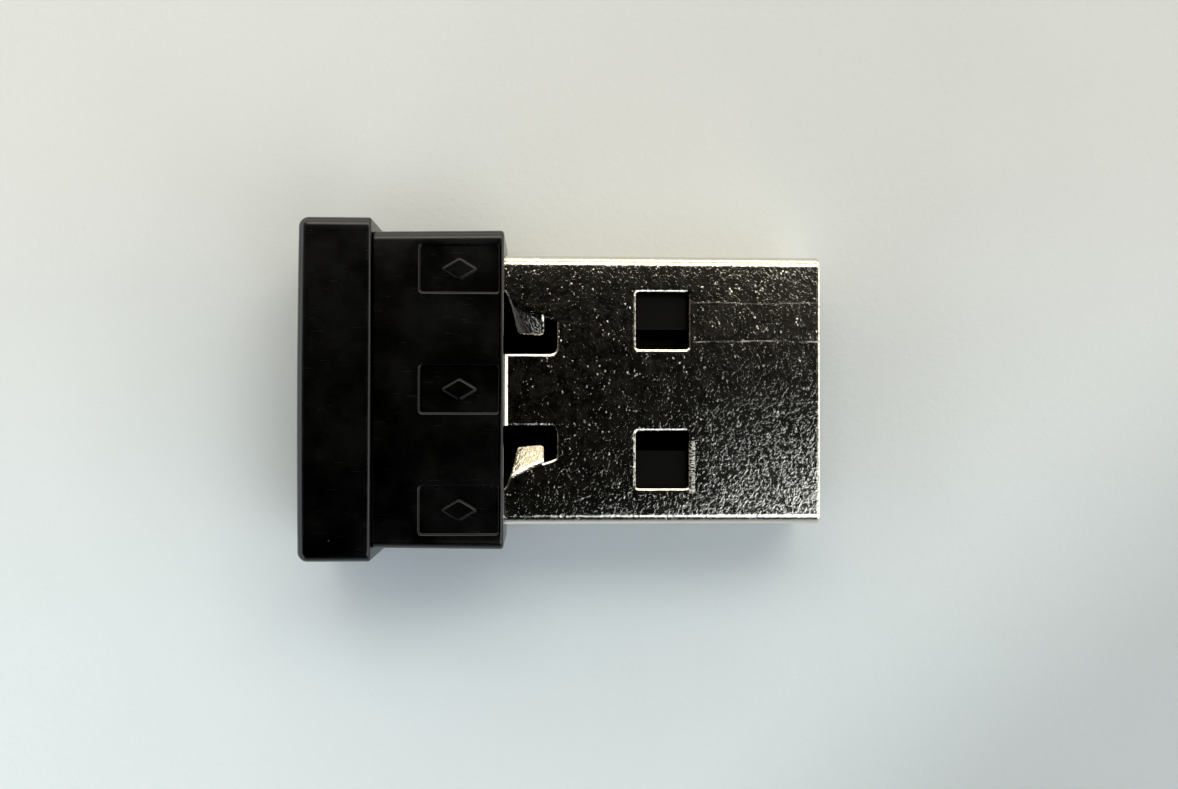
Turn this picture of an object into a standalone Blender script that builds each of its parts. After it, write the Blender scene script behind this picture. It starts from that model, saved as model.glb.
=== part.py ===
"""Nano USB wireless adapter: a USB-A plug in a two-piece black housing, with its board inside.

Metres, +Z up. +X runs along the plug to its tip, +Y is across it, and the origin is under the
middle of the object, on the plane that the underside of the end cap lies in.
"""
import math

import bmesh
import bpy

MM = 0.001
OBJECT_NAME = "usb_wifi_adapter"

# Overall sizes.
LENGTH = 23.0 * MM
CAP_LENGTH = 3.2 * MM
CAP_WIDTH = 14.9 * MM
CAP_HEIGHT = 7.0 * MM
CAP_RADIUS = 0.4 * MM
CAP_WALL = 0.9 * MM
PLUG_LENGTH = 14.1 * MM
COLLAR_REAR_WIDTH = 13.82 * MM
COLLAR_FRONT_WIDTH = 13.98 * MM
COLLAR_HEIGHT = 6.1 * MM
COLLAR_EDGE_RADIUS = 0.4 * MM
COLLAR_FRONT_RADIUS = 0.1 * MM

# The plug's stamped shell, to the USB-A standard.
SHELL_WIDTH = 12.0 * MM
SHELL_HEIGHT = 4.5 * MM
SHELL_CORNER = 0.5 * MM
SHEET = 0.3 * MM
SHELL_INSERTION = 2.9 * MM
WINDOW_LENGTH = 2.4 * MM
WINDOW_WIDTH = 2.58 * MM
WINDOW_CORNER = 0.16 * MM
WINDOW_FROM_TIP = 5.87 * MM
WINDOW_OFFSET = 3.1 * MM
SEAM_GAP = 0.06 * MM
DOVETAIL_NECK = 1.1 * MM
DOVETAIL_HEAD = 1.7 * MM
DOVETAIL_DEPTH = 0.8 * MM

# The rear edge of the shell's upper face: a centre tab between two notches with bent-in flaps.
TAB_HALF_WIDTH = 1.58 * MM
TAB_GAP = 0.1 * MM
NOTCH_LENGTH = 2.35 * MM
NOTCH_CORNER = 0.33 * MM
NOTCH_END = 2.75 * MM
SLOT_END = 3.22 * MM
STRIP_START = 4.35 * MM
FLAP_LENGTH_FROM_NOTCH = 0.6 * MM
FLAP_WIDTH = 1.57 * MM
FLAP_TIP = 2.3 * MM
FLAP_CORNER = 0.15 * MM
FLAP_FOLD_FRONT = 3.35 * MM
FLAP_FOLD_REAR = 4.1 * MM
FLAP_BEND_RADIUS = 0.7 * MM
FLAP_ANGLE = math.radians(27.0)
FLAP_SLICES = 4

# The plug's plastic tongue and its four contacts.
FIT = 0.05 * MM
CLOSE_FIT = 0.02 * MM
INSULATOR_BEVEL = 0.25 * MM
TONGUE_FROM_TIP = 0.6 * MM
TONGUE_UNDERSIDE = 3.5 * MM
HOLLOW_DEPTH = 9.0 * MM
BLOCK_LENGTH = 2.4 * MM
SHELF_LENGTH = 3.6 * MM
CHANNEL_HALF_WIDTH = 2.7 * MM
CHANNEL_DEPTH = 0.6 * MM
CHANNEL_FRONT_WALL = 1.4 * MM
FLAP_POCKET_FLOOR = 4.05 * MM
FLAP_POCKET_SPARE = 0.2 * MM
CONTACT_THICKNESS = 0.15 * MM
CONTACT_UNDERSIDE = 3.45 * MM
CONTACT_WIDTH = 1.0 * MM
CONTACT_TAIL_WIDTH = 0.6 * MM
CONTACT_TAIL = 0.85 * MM
CONTACT_SHOULDER = 0.3 * MM
POWER_CONTACT_FROM_TIP = 1.0 * MM
SIGNAL_CONTACT_FROM_TIP = 2.0 * MM
CONTACT_PLACES = {
    "usb_contact_vbus": (-3.5 * MM, POWER_CONTACT_FROM_TIP),
    "usb_contact_dminus": (-1.0 * MM, SIGNAL_CONTACT_FROM_TIP),
    "usb_contact_dplus": (1.0 * MM, SIGNAL_CONTACT_FROM_TIP),
    "usb_contact_gnd": (3.5 * MM, POWER_CONTACT_FROM_TIP),
}

# The circuit board, and the inside of the housing that holds it.
BOARD_WIDTH = 11.2 * MM
BOARD_THICKNESS = 0.6 * MM
BOARD_TOP = 3.4 * MM
BOARD_CORNER = 0.5 * MM
BOARD_END_CLEARANCE = 0.35 * MM
CAVITY_WIDTH = 10.2 * MM
CAVITY_HEIGHT = 3.8 * MM
SPIGOT_LENGTH = 1.8 * MM
SPIGOT_WIDTH = 13.1 * MM
SPIGOT_HEIGHT = 5.1 * MM
SPIGOT_RADIUS = 0.2 * MM
CAP_INNER_RADIUS = 0.15 * MM
MOUTH_RADIUS = 0.4 * MM
SNAP_LENGTH = 0.6 * MM
SNAP_WIDTH = 2.4 * MM
SNAP_DEPTH = 0.15 * MM
SOLDER_GAP = 0.03 * MM

# What the small components on the board have in common, and the sizes of the chips, in millimetres.
PACKAGE_BEVEL = 0.06 * MM
TERMINAL_PROUD = 0.02 * MM
TERMINAL_SHARE = 0.22
LEAD_WIDTH = 0.4 * MM
LEAD_HEIGHT = 0.35 * MM
LEAD_PLACES = ((1, -0.95), (1, 0.95), (-1, -0.95), (-1, 0.0), (-1, 0.95))
REGULATOR_SIZE = (1.6, 2.9, 1.0)
CHIP_0402 = (1.0, 0.5, 0.5)
CHIP_0603 = (1.6, 0.8, 0.8)
CHIP_0805 = (2.0, 1.25, 0.9)

# The three recessed panels on the collar's upper face, each round a raised lozenge.
PANEL_LENGTH = 3.5 * MM
PANEL_WIDTH = 2.1 * MM
PANEL_CORNER = 0.15 * MM
PANEL_DEPTH = 0.1 * MM
PANEL_PITCH = 5.26 * MM
PANEL_LIP = 0.18 * MM
LOZENGE_LENGTH = 1.5 * MM
LOZENGE_WIDTH = 0.9 * MM

# The light pipe in the end cap's rear wall, in line with the status lamp.
PIPE_Y = -3.9 * MM
PIPE_Z = 4.05 * MM
PIPE_RADIUS = 0.5 * MM
PIPE_FLANGE_RADIUS = 0.6 * MM
PIPE_FLANGE_LENGTH = 0.2 * MM
PIPE_RECESS = 0.02 * MM
PIPE_FLANGE_GAP = 0.03 * MM

# Places worked out from the sizes.
TIP_X = LENGTH / 2
CAP_REAR_X = -LENGTH / 2
CAP_FRONT_X = CAP_REAR_X + CAP_LENGTH
COLLAR_FRONT_X = TIP_X - PLUG_LENGTH
SHELL_REAR_X = COLLAR_FRONT_X - SHELL_INSERTION
SPIGOT_REAR_X = CAP_FRONT_X - SPIGOT_LENGTH
CAP_INNER_X = CAP_REAR_X + CAP_WALL
BOARD_REAR_X = CAP_INNER_X + BOARD_END_CLEARANCE
MIDDLE_Z = CAP_HEIGHT / 2
SHELL_TOP = MIDDLE_Z + SHELL_HEIGHT / 2
INSIDE_TOP = SHELL_TOP - SHEET
INSIDE_BOTTOM = MIDDLE_Z - SHELL_HEIGHT / 2 + SHEET
TAB_REAR_X = COLLAR_FRONT_X + TAB_GAP
NOTCH_FRONT_X = COLLAR_FRONT_X + NOTCH_LENGTH
FLAP_FRONT_X = NOTCH_FRONT_X - FLAP_LENGTH_FROM_NOTCH
FLAP_REAR_X = FLAP_FRONT_X - FLAP_WIDTH
HOLLOW_REAR_X = TIP_X - HOLLOW_DEPTH
BLOCK_REAR_X = HOLLOW_REAR_X - BLOCK_LENGTH
SHELF_REAR_X = BLOCK_REAR_X - SHELF_LENGTH
BOARD_FRONT_X = BLOCK_REAR_X - FIT
BOARD_BOTTOM = BOARD_TOP - BOARD_THICKNESS


def start_scene():
    """Empty the scene and return the collections for the parts and for the cutters."""
    for old in list(bpy.data.objects):
        bpy.data.objects.remove(old)
    parts = bpy.data.collections.new(OBJECT_NAME)
    cutters = bpy.data.collections.new("cutters")
    bpy.context.scene.collection.children.link(parts)
    bpy.context.scene.collection.children.link(cutters)
    return parts, cutters


PARTS, CUTTERS = start_scene()


def make_material(name, colour, roughness, metallic=0.0):
    """Return a Principled material of one colour."""
    material = bpy.data.materials.new(name)
    material.use_nodes = True
    shader = material.node_tree.nodes["Principled BSDF"]
    shader.inputs["Base Color"].default_value = (*colour, 1.0)
    shader.inputs["Roughness"].default_value = roughness
    shader.inputs["Metallic"].default_value = metallic
    return material


BLACK_PLASTIC = make_material("black_plastic", (0.012, 0.012, 0.013), 0.3)
TONGUE_PLASTIC = make_material("tongue_plastic", (0.02, 0.02, 0.02), 0.5)
CLEAR_PLASTIC = make_material("clear_plastic", (0.75, 0.78, 0.8), 0.15)
NICKEL = make_material("nickel", (0.72, 0.7, 0.66), 0.25, 1.0)
GOLD = make_material("gold_plate", (0.9, 0.66, 0.3), 0.25, 1.0)
SOLDER_MASK = make_material("solder_mask", (0.01, 0.13, 0.05), 0.35)
CHIP_BLACK = make_material("chip_black", (0.02, 0.02, 0.022), 0.6)
CAN_METAL = make_material("can_metal", (0.75, 0.73, 0.68), 0.3, 1.0)
CERAMIC_TAN = make_material("ceramic_tan", (0.42, 0.28, 0.16), 0.5)
CERAMIC_BLUE = make_material("ceramic_blue", (0.35, 0.5, 0.6), 0.4)
CERAMIC_WHITE = make_material("ceramic_white", (0.8, 0.8, 0.76), 0.4)
FERRITE = make_material("ferrite", (0.12, 0.11, 0.11), 0.6)


def add_part(name, mesh, material):
    """Put a finished mesh in the scene as a sub-part."""
    part = bpy.data.objects.new(name, mesh)
    part.data.materials.clear()
    part.data.materials.append(material)
    PARTS.objects.link(part)
    return part


def add_cutter(name, mesh):
    """Put a mesh in the cutters' collection, shown as wire and left out of renders."""
    cutter = bpy.data.objects.new(name, mesh)
    cutter.hide_render = True
    cutter.display_type = "WIRE"
    CUTTERS.objects.link(cutter)
    return cutter


def block_mesh(name, low, high):
    """Return a box between two corners."""
    mesh = bpy.data.meshes.new(name)
    shape = bmesh.new()
    bmesh.ops.create_cube(shape, size=1.0)
    for corner in shape.verts:
        corner.co = [low[i] + (corner.co[i] + 0.5) * (high[i] - low[i]) for i in range(3)]
    shape.to_mesh(mesh)
    shape.free()
    return mesh


def bevel(part, width, segments=2, method="ANGLE"):
    """Round a part's sharp edges."""
    modifier = part.modifiers.new("round_edges", "BEVEL")
    modifier.width = width
    modifier.segments = segments
    modifier.limit_method = method
    return modifier


def weight_edges(part, weight_of):
    """Give each edge a bevel weight, from a rule that takes its direction and its middle."""
    mesh = part.data
    weights = mesh.attributes.new("bevel_weight_edge", "FLOAT", "EDGE")
    for edge in mesh.edges:
        start, end = (mesh.vertices[index].co for index in edge.vertices)
        weights.data[edge.index].value = weight_of(end - start, (start + end) / 2)


def bevel_long_edges(part, width, segments=2):
    """Round only the edges of a box that run along the plug."""
    def weight_of(direction, middle):
        return 1.0 if abs(direction.x) > abs(direction.y + direction.z) else 0.0

    weight_edges(part, weight_of)
    bevel(part, width, segments, "WEIGHT")


def boolean(part, other, operation):
    """Cut another object from a part, or join it on."""
    modifier = part.modifiers.new(other.name, "BOOLEAN")
    modifier.operation = operation
    modifier.solver = "EXACT"
    modifier.object = other


def cut_block(part, name, low, high, radius=0.0):
    """Cut a box out of a part, with round edges along the plug if a radius is given."""
    cutter = add_cutter(name, block_mesh(name, low, high))
    if radius:
        bevel_long_edges(cutter, radius)
    boolean(part, cutter, "DIFFERENCE")


def arc(centre_x, centre_y, radius, start, end, steps=4):
    """Return points along an arc; the angles are in degrees."""
    points = []
    for i in range(steps + 1):
        angle = math.radians(start + (end - start) * i / steps)
        points.append((centre_x + radius * math.cos(angle), centre_y + radius * math.sin(angle)))
    return points


def rounded_rectangle(centre_x, centre_y, length, width, radius):
    """Return the outline of a rectangle with round corners."""
    x = length / 2 - radius
    y = width / 2 - radius
    outline = []
    for sign_x, sign_y, start in ((1, 1, 0), (-1, 1, 90), (-1, -1, 180), (1, -1, 270)):
        outline += arc(centre_x + sign_x * x, centre_y + sign_y * y, radius, start, start + 90)
    return outline


def outline_mesh(name, outlines, thickness=0.0, base=0.0):
    """Fill 2D outlines, the first round the others, and thicken them upwards from a base."""
    curve = bpy.data.curves.new(name, "CURVE")
    curve.dimensions = "2D"
    curve.fill_mode = "BOTH"
    curve.extrude = thickness / 2
    for outline in outlines:
        spline = curve.splines.new("POLY")
        spline.points.add(len(outline) - 1)
        for point, (x, y) in zip(spline.points, outline):
            point.co = (x, y, 0.0, 1.0)
        spline.use_cyclic_u = True
    holder = bpy.data.objects.new(name, curve)
    bpy.context.scene.collection.objects.link(holder)
    evaluated = holder.evaluated_get(bpy.context.evaluated_depsgraph_get())
    mesh = bpy.data.meshes.new_from_object(evaluated)
    bpy.data.objects.remove(holder)
    shape = bmesh.new()
    shape.from_mesh(mesh)
    bmesh.ops.remove_doubles(shape, verts=shape.verts, dist=1e-7)
    bmesh.ops.translate(shape, verts=shape.verts, vec=(0.0, 0.0, base + thickness / 2))
    shape.to_mesh(mesh)
    shape.free()
    return mesh


# ---------------------------------------------------------------------------- the plug's shell

def profile_lengths():
    """Return where the shell's profile turns, as lengths round its outside from the top centre."""
    quarter = SHELL_CORNER * math.pi / 2
    top = SHELL_WIDTH / 2 - SHELL_CORNER
    side_start = top + quarter
    side_end = side_start + SHELL_HEIGHT - 2 * SHELL_CORNER
    bottom = side_end + quarter
    return top, side_start, side_end, bottom, bottom + top


def flap_drop(x, length):
    """Return how far the sheet is bent in and down at a point of the flat pattern."""
    along = (x - FLAP_REAR_X) / (FLAP_FRONT_X - FLAP_REAR_X)
    fold = FLAP_FOLD_REAR + (FLAP_FOLD_FRONT - FLAP_FOLD_REAR) * min(max(along, 0.0), 1.0)
    past = fold - length
    if past <= 0.0 or length < 0.999 * FLAP_TIP or x >= NOTCH_FRONT_X:
        return 0.0, 0.0
    blend = min((NOTCH_FRONT_X - x) / (NOTCH_FRONT_X - FLAP_FRONT_X), 1.0)
    curved = min(past / FLAP_BEND_RADIUS, FLAP_ANGLE)
    straight = past - curved * FLAP_BEND_RADIUS
    across = FLAP_BEND_RADIUS * math.sin(curved) + straight * math.cos(FLAP_ANGLE)
    down = FLAP_BEND_RADIUS * (1 - math.cos(curved)) + straight * math.sin(FLAP_ANGLE)
    return blend * (past - across), blend * down


def fold_point(x, length):
    """Fold a point of the flat pattern round the shell's profile."""
    top, side_start, side_end, bottom, half_girth = profile_lengths()
    side = 1.0 if length >= 0.0 else -1.0
    length = abs(length)
    centre_y = SHELL_WIDTH / 2 - SHELL_CORNER
    centre_z = SHELL_HEIGHT / 2 - SHELL_CORNER
    if length <= top:
        outward, down = flap_drop(x, length)
        y, z = length + outward, SHELL_HEIGHT / 2 - down
    elif length <= side_start:
        angle = (length - top) / SHELL_CORNER
        y, z = centre_y + SHELL_CORNER * math.sin(angle), centre_z + SHELL_CORNER * math.cos(angle)
    elif length <= side_end:
        y, z = SHELL_WIDTH / 2, centre_z - (length - side_start)
    elif length <= bottom:
        angle = (length - side_end) / SHELL_CORNER
        y, z = centre_y + SHELL_CORNER * math.cos(angle), -centre_z - SHELL_CORNER * math.sin(angle)
    else:
        y, z = half_girth - length, -SHELL_HEIGHT / 2
    return x, side * y, MIDDLE_Z + z


def rear_edge(side):
    """Return the outline of the shell's rear edge on one side, from the seam to the centre tab."""
    edge = [(SHELL_REAR_X, STRIP_START), (TAB_REAR_X, STRIP_START), (FLAP_REAR_X, FLAP_FOLD_REAR)]
    tip = FLAP_TIP + FLAP_CORNER
    edge += arc(FLAP_REAR_X + 2 * FLAP_CORNER, tip, FLAP_CORNER, 180, 270, 3)
    edge += arc(FLAP_FRONT_X - 2 * FLAP_CORNER, tip, FLAP_CORNER, 270, 360, 3)
    edge += [(FLAP_FRONT_X, SLOT_END), (NOTCH_FRONT_X, NOTCH_END)]
    corner = (NOTCH_FRONT_X - NOTCH_CORNER, TAB_HALF_WIDTH + NOTCH_CORNER)
    edge += arc(*corner, NOTCH_CORNER, 0, -90)
    edge += [(TAB_REAR_X, TAB_HALF_WIDTH)]
    return [(x, side * length) for x, length in edge]


def seam_edge(side):
    """Return one edge of the underside seam, with the dovetail's head or its socket."""
    middle = TIP_X - WINDOW_FROM_TIP - WINDOW_LENGTH / 2
    spare = 0.0 if side > 0 else SEAM_GAP
    neck = DOVETAIL_NECK / 2 + spare
    head = DOVETAIL_HEAD / 2 + spare
    edge = side * (profile_lengths()[-1] - SEAM_GAP / 2)
    depth = edge + DOVETAIL_DEPTH + spare
    joint = [(middle + neck, edge), (middle + head, depth), (middle - head, depth), (middle - neck, edge)]
    return [(TIP_X, edge)] + joint + [(SHELL_REAR_X, edge)]


def flat_pattern():
    """Return the outline of the shell's sheet before folding, and of its four windows."""
    outline = seam_edge(1) + rear_edge(1) + list(reversed(seam_edge(-1) + rear_edge(-1)))
    underside = profile_lengths()[-1] - WINDOW_OFFSET
    centre_x = TIP_X - WINDOW_FROM_TIP - WINDOW_LENGTH / 2
    windows = []
    for place in (WINDOW_OFFSET, -WINDOW_OFFSET, underside, -underside):
        windows.append(rounded_rectangle(centre_x, place, WINDOW_LENGTH, WINDOW_WIDTH, WINDOW_CORNER))
    return [outline] + windows


def slice_sheet(shape, position, normal, behind=None):
    """Divide the flat pattern along a straight line, all of it or only the part behind a place."""
    geometry = shape.verts[:] + shape.edges[:] + shape.faces[:]
    if behind is not None:
        faces = [face for face in shape.faces if face.calc_center_median().x < behind]
        geometry = list({part for face in faces for part in (face, *face.verts, *face.edges)})
    bmesh.ops.bisect_plane(shape, geom=geometry, dist=1e-8, plane_co=position, plane_no=normal)


def build_shell():
    """Stamp the shell's flat pattern, fold it round and give it the thickness of the sheet."""
    mesh = outline_mesh("usb_shell", flat_pattern())
    shape = bmesh.new()
    shape.from_mesh(mesh)
    top, side_start, side_end, bottom, _ = profile_lengths()
    folds = []
    for start, end in ((top, side_start), (side_end, bottom)):
        folds += [start + (end - start) * i / 4 for i in range(5)]
    for fold in folds:
        for side in (1, -1):
            slice_sheet(shape, (0.0, side * fold, 0.0), (0.0, 1.0, 0.0))
    slice_sheet(shape, (NOTCH_FRONT_X, 0.0, 0.0), (1.0, 0.0, 0.0))
    for i in range(FLAP_SLICES):
        place = FLAP_REAR_X + FLAP_WIDTH * i / (FLAP_SLICES - 1)
        slice_sheet(shape, (place, 0.0, 0.0), (1.0, 0.0, 0.0), NOTCH_FRONT_X)
    for i in range(FLAP_SLICES + 1):
        start = FLAP_FOLD_FRONT - FLAP_BEND_RADIUS * FLAP_ANGLE * i / FLAP_SLICES
        for side in (1, -1):
            normal = (FLAP_FOLD_REAR - FLAP_FOLD_FRONT, side * FLAP_WIDTH, 0.0)
            slice_sheet(shape, (FLAP_FRONT_X, side * start, 0.0), normal, NOTCH_FRONT_X)
    for point in shape.verts:
        point.co = fold_point(point.co.x, point.co.y)
    bmesh.ops.recalc_face_normals(shape, faces=shape.faces)
    shape.to_mesh(mesh)
    shape.free()
    mesh.shade_smooth()
    mesh.set_sharp_from_angle(angle=math.radians(35))
    shell = add_part("usb_shell", mesh, NICKEL)
    sheet = shell.modifiers.new("sheet_thickness", "SOLIDIFY")
    sheet.thickness = SHEET
    sheet.offset = -1.0
    sheet.use_even_offset = True
    return shell


# ---------------------------------------------------------------------------- the plug's inside

def build_insulator():
    """Make the tongue that carries the contacts, its block, and the shelf over the board."""
    half_width = SHELL_WIDTH / 2 - SHEET - FIT
    floor = INSIDE_BOTTOM + FIT
    ceiling = INSIDE_TOP - FIT
    tongue_tip = TIP_X - TONGUE_FROM_TIP
    low = (SHELF_REAR_X, -half_width, floor)
    mesh = block_mesh("usb_insulator", low, (tongue_tip, half_width, ceiling))
    insulator = add_part("usb_insulator", mesh, TONGUE_PLASTIC)
    bevel(insulator, INSULATOR_BEVEL)
    wide = SHELL_WIDTH
    cut_block(insulator, "hollow_cutter", (HOLLOW_REAR_X, -wide, -wide), (wide, wide, TONGUE_UNDERSIDE))
    contact_top = CONTACT_UNDERSIDE + CONTACT_THICKNESS + CLOSE_FIT
    cut_block(insulator, "shelf_cutter", (-wide, -wide, -wide), (BLOCK_REAR_X, wide, contact_top))
    channel_end = tongue_tip - CHANNEL_FRONT_WALL
    channel_low = (BLOCK_REAR_X, -CHANNEL_HALF_WIDTH, ceiling - CHANNEL_DEPTH)
    cut_block(insulator, "channel_cutter", channel_low, (channel_end, CHANNEL_HALF_WIDTH, SHELL_TOP))
    for side, name in ((1, "left"), (-1, "right")):
        near, far = sorted((side * (TAB_HALF_WIDTH - FIT), side * (STRIP_START + FLAP_POCKET_SPARE)))
        low = (SHELF_REAR_X - MM, near, FLAP_POCKET_FLOOR)
        high = (NOTCH_FRONT_X + FIT, far, SHELL_TOP)
        cut_block(insulator, name + "_flap_pocket_cutter", low, high)
    for name, (y, from_tip) in CONTACT_PLACES.items():
        half = CONTACT_WIDTH / 2 + CLOSE_FIT
        low = (-wide, y - half, CONTACT_UNDERSIDE - CLOSE_FIT)
        high = (TIP_X - from_tip + CLOSE_FIT, y + half, contact_top)
        cut_block(insulator, name + "_slot_cutter", low, high)
    return insulator


def build_contacts():
    """Make the four contact strips, each with a narrower tail on the board."""
    for name, (y, from_tip) in CONTACT_PLACES.items():
        front = TIP_X - from_tip
        wide = CONTACT_WIDTH / 2
        narrow = CONTACT_TAIL_WIDTH / 2
        shoulder = SHELF_REAR_X + CONTACT_SHOULDER
        tail = SHELF_REAR_X - CONTACT_TAIL
        outline = [(front, y - wide), (front, y + wide), (shoulder, y + wide), (shoulder, y + narrow)]
        outline += [(tail, y + narrow), (tail, y - narrow), (shoulder, y - narrow), (shoulder, y - wide)]
        add_part(name, outline_mesh(name, [outline], CONTACT_THICKNESS, CONTACT_UNDERSIDE), GOLD)


def build_board():
    """Make the circuit board, from the plug's block to the inside of the end cap."""
    length = BOARD_FRONT_X - BOARD_REAR_X
    centre = (BOARD_FRONT_X + BOARD_REAR_X) / 2
    outline = rounded_rectangle(centre, 0.0, length, BOARD_WIDTH, BOARD_CORNER)
    mesh = outline_mesh("circuit_board", [outline], BOARD_THICKNESS, BOARD_BOTTOM)
    return add_part("circuit_board", mesh, SOLDER_MASK)


# ---------------------------------------------------------------------------- parts on the board

def surface_z(height, above):
    """Return the lowest and highest z of a component on the board's upper or lower side."""
    if above:
        return BOARD_TOP + SOLDER_GAP, BOARD_TOP + SOLDER_GAP + height
    return BOARD_BOTTOM - SOLDER_GAP - height, BOARD_BOTTOM - SOLDER_GAP


def package(name, place, size, above, material):
    """Make a square-edged chip package, given its centre and size in millimetres."""
    x, y = place[0] * MM, place[1] * MM
    length, width, height = (value * MM for value in size)
    low_z, high_z = surface_z(height, above)
    low = (x - length / 2, y - width / 2, low_z)
    high = (x + length / 2, y + width / 2, high_z)
    part = add_part(name, block_mesh(name, low, high), material)
    bevel(part, PACKAGE_BEVEL, 1)
    return part


def terminal_chip(name, place, size, above, material, across=False):
    """Make a two-terminal chip whose end caps stand slightly proud of its body."""
    length, width, height = (value * MM for value in size)
    proud = TERMINAL_PROUD
    cap = TERMINAL_SHARE * length
    half = length / 2
    top = [(-half, height), (-half + cap, height), (-half + cap, height - proud)]
    top += [(half - cap, height - proud), (half - cap, height), (half, height)]
    bottom = [(half, 0.0), (half - cap, 0.0), (half - cap, proud)]
    bottom += [(-half + cap, proud), (-half + cap, 0.0), (-half, 0.0)]
    mesh = outline_mesh(name, [top + bottom], width)
    low_z, _ = surface_z(height, above)
    for corner in mesh.vertices:
        along, up, sideways = corner.co.x, corner.co.y, width / 2 - corner.co.z
        x, y = (-sideways, along) if across else (along, sideways)
        corner.co = (place[0] * MM + x, place[1] * MM + y, low_z + up)
    return add_part(name, mesh, material)


def regulator(name, place, above):
    """Make a five-lead regulator: a moulded body on bent leads, two on one side and three opposite."""
    body = package(name, place, REGULATOR_SIZE, above, CHIP_BLACK)
    low_z, _ = surface_z(REGULATOR_SIZE[2] * MM, above)
    for index, (side, offset) in enumerate(LEAD_PLACES):
        inner = place[0] * MM + side * (REGULATOR_SIZE[0] / 2 - 0.1) * MM
        outer = place[0] * MM + side * (REGULATOR_SIZE[0] / 2 + 0.55) * MM
        y = (place[1] + offset) * MM
        lead_name = f"{name}_lead_{index + 1}"
        low = (min(inner, outer), y - LEAD_WIDTH / 2, low_z + CLOSE_FIT)
        high = (max(inner, outer), y + LEAD_WIDTH / 2, low_z + LEAD_HEIGHT)
        boolean(body, add_cutter(lead_name, block_mesh(lead_name, low, high)), "UNION")
    return body


def build_upper_components():
    """Place the power supply, the lamp and the antenna circuit on the board's upper side."""
    package("chip_antenna", (-9.2, 1.7), (2.0, 5.2, 1.1), True, CERAMIC_WHITE)
    package("rf_filter", (-7.4, 1.4), (1.2, 2.0, 0.7), True, CERAMIC_WHITE)
    package("esd_diode", (-5.1, 0.6), (1.2, 1.6, 0.6), True, CHIP_BLACK)
    package("power_inductor", (-5.6, 3.6), (2.0, 2.0, 1.0), True, FERRITE)
    package("status_led", (-9.8, -3.9), (0.8, 1.6, 0.6), True, CERAMIC_WHITE)
    regulator("voltage_regulator", (-7.2, -3.3), True)
    terminal_chip("usb_ferrite", (-5.0, -3.9), CHIP_0603, True, FERRITE, across=True)
    terminal_chip("bulk_capacitor_1", (-5.1, -1.7), CHIP_0805, True, CERAMIC_TAN, across=True)
    terminal_chip("bulk_capacitor_2", (-6.9, -0.7), CHIP_0805, True, CERAMIC_TAN)
    terminal_chip("led_resistor", (-9.0, -2.2), CHIP_0402, True, CHIP_BLACK, across=True)
    for i in range(2):
        place = (-7.6, 3.2 + 1.25 * i)
        terminal_chip(f"rf_inductor_{i + 1}", place, CHIP_0402, True, CERAMIC_BLUE, across=True)


def build_lower_components():
    """Place the wireless chip, its clock and the small chips round it on the lower side."""
    package("wifi_chip", (-3.6, 0.0), (5.0, 5.0, 0.85), False, CHIP_BLACK)
    package("crystal", (-8.1, -2.6), (2.5, 2.0, 0.6), False, CAN_METAL)
    package("rf_balun", (-8.2, 1.6), (2.0, 1.25, 0.7), False, CERAMIC_WHITE)
    terminal_chip("bias_resistor", (-6.5, -4.3), CHIP_0402, False, CHIP_BLACK)
    for i in range(5):
        place = (-0.5, 1.25 * (i - 2))
        terminal_chip(f"bypass_capacitor_{i + 1}", place, CHIP_0402, False, CERAMIC_TAN, across=True)
    for i in range(3):
        x = -2.2 - 1.4 * i
        terminal_chip(f"bypass_capacitor_{i + 6}", (x, 3.3), CHIP_0402, False, CERAMIC_TAN)
        terminal_chip(f"bypass_capacitor_{i + 9}", (x, -3.3), CHIP_0402, False, CERAMIC_TAN)
    for i in range(2):
        place = (-8.1, -4.3 + 3.4 * i)
        terminal_chip(f"crystal_capacitor_{i + 1}", place, CHIP_0402, False, CERAMIC_TAN)
    for i in range(3):
        place = (-9.6, 1.2 + 1.2 * i)
        terminal_chip(f"rf_capacitor_{i + 1}", place, CHIP_0402, False, CERAMIC_TAN, across=True)
    for i in range(2):
        place = (-6.7, -0.6 + 1.3 * i)
        terminal_chip(f"usb_resistor_{i + 1}", place, CHIP_0402, False, CHIP_BLACK, across=True)


# ---------------------------------------------------------------------------- the housing

def panel_cutter(index):
    """Return the cutter of one recessed panel, with the lozenge left standing in it."""
    centre_x = COLLAR_FRONT_X - PANEL_LIP - PANEL_LENGTH / 2
    centre_y = PANEL_PITCH * (index - 1)
    panel = rounded_rectangle(centre_x, centre_y, PANEL_LENGTH, PANEL_WIDTH, PANEL_CORNER)
    lozenge = [
        (centre_x + LOZENGE_LENGTH / 2, centre_y),
        (centre_x, centre_y + LOZENGE_WIDTH / 2),
        (centre_x - LOZENGE_LENGTH / 2, centre_y),
        (centre_x, centre_y - LOZENGE_WIDTH / 2),
    ]
    name = f"panel_cutter_{index + 1}"
    base = MIDDLE_Z + COLLAR_HEIGHT / 2 - PANEL_DEPTH
    return add_cutter(name, outline_mesh(name, [panel, lozenge], 3 * PANEL_DEPTH, base))


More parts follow.
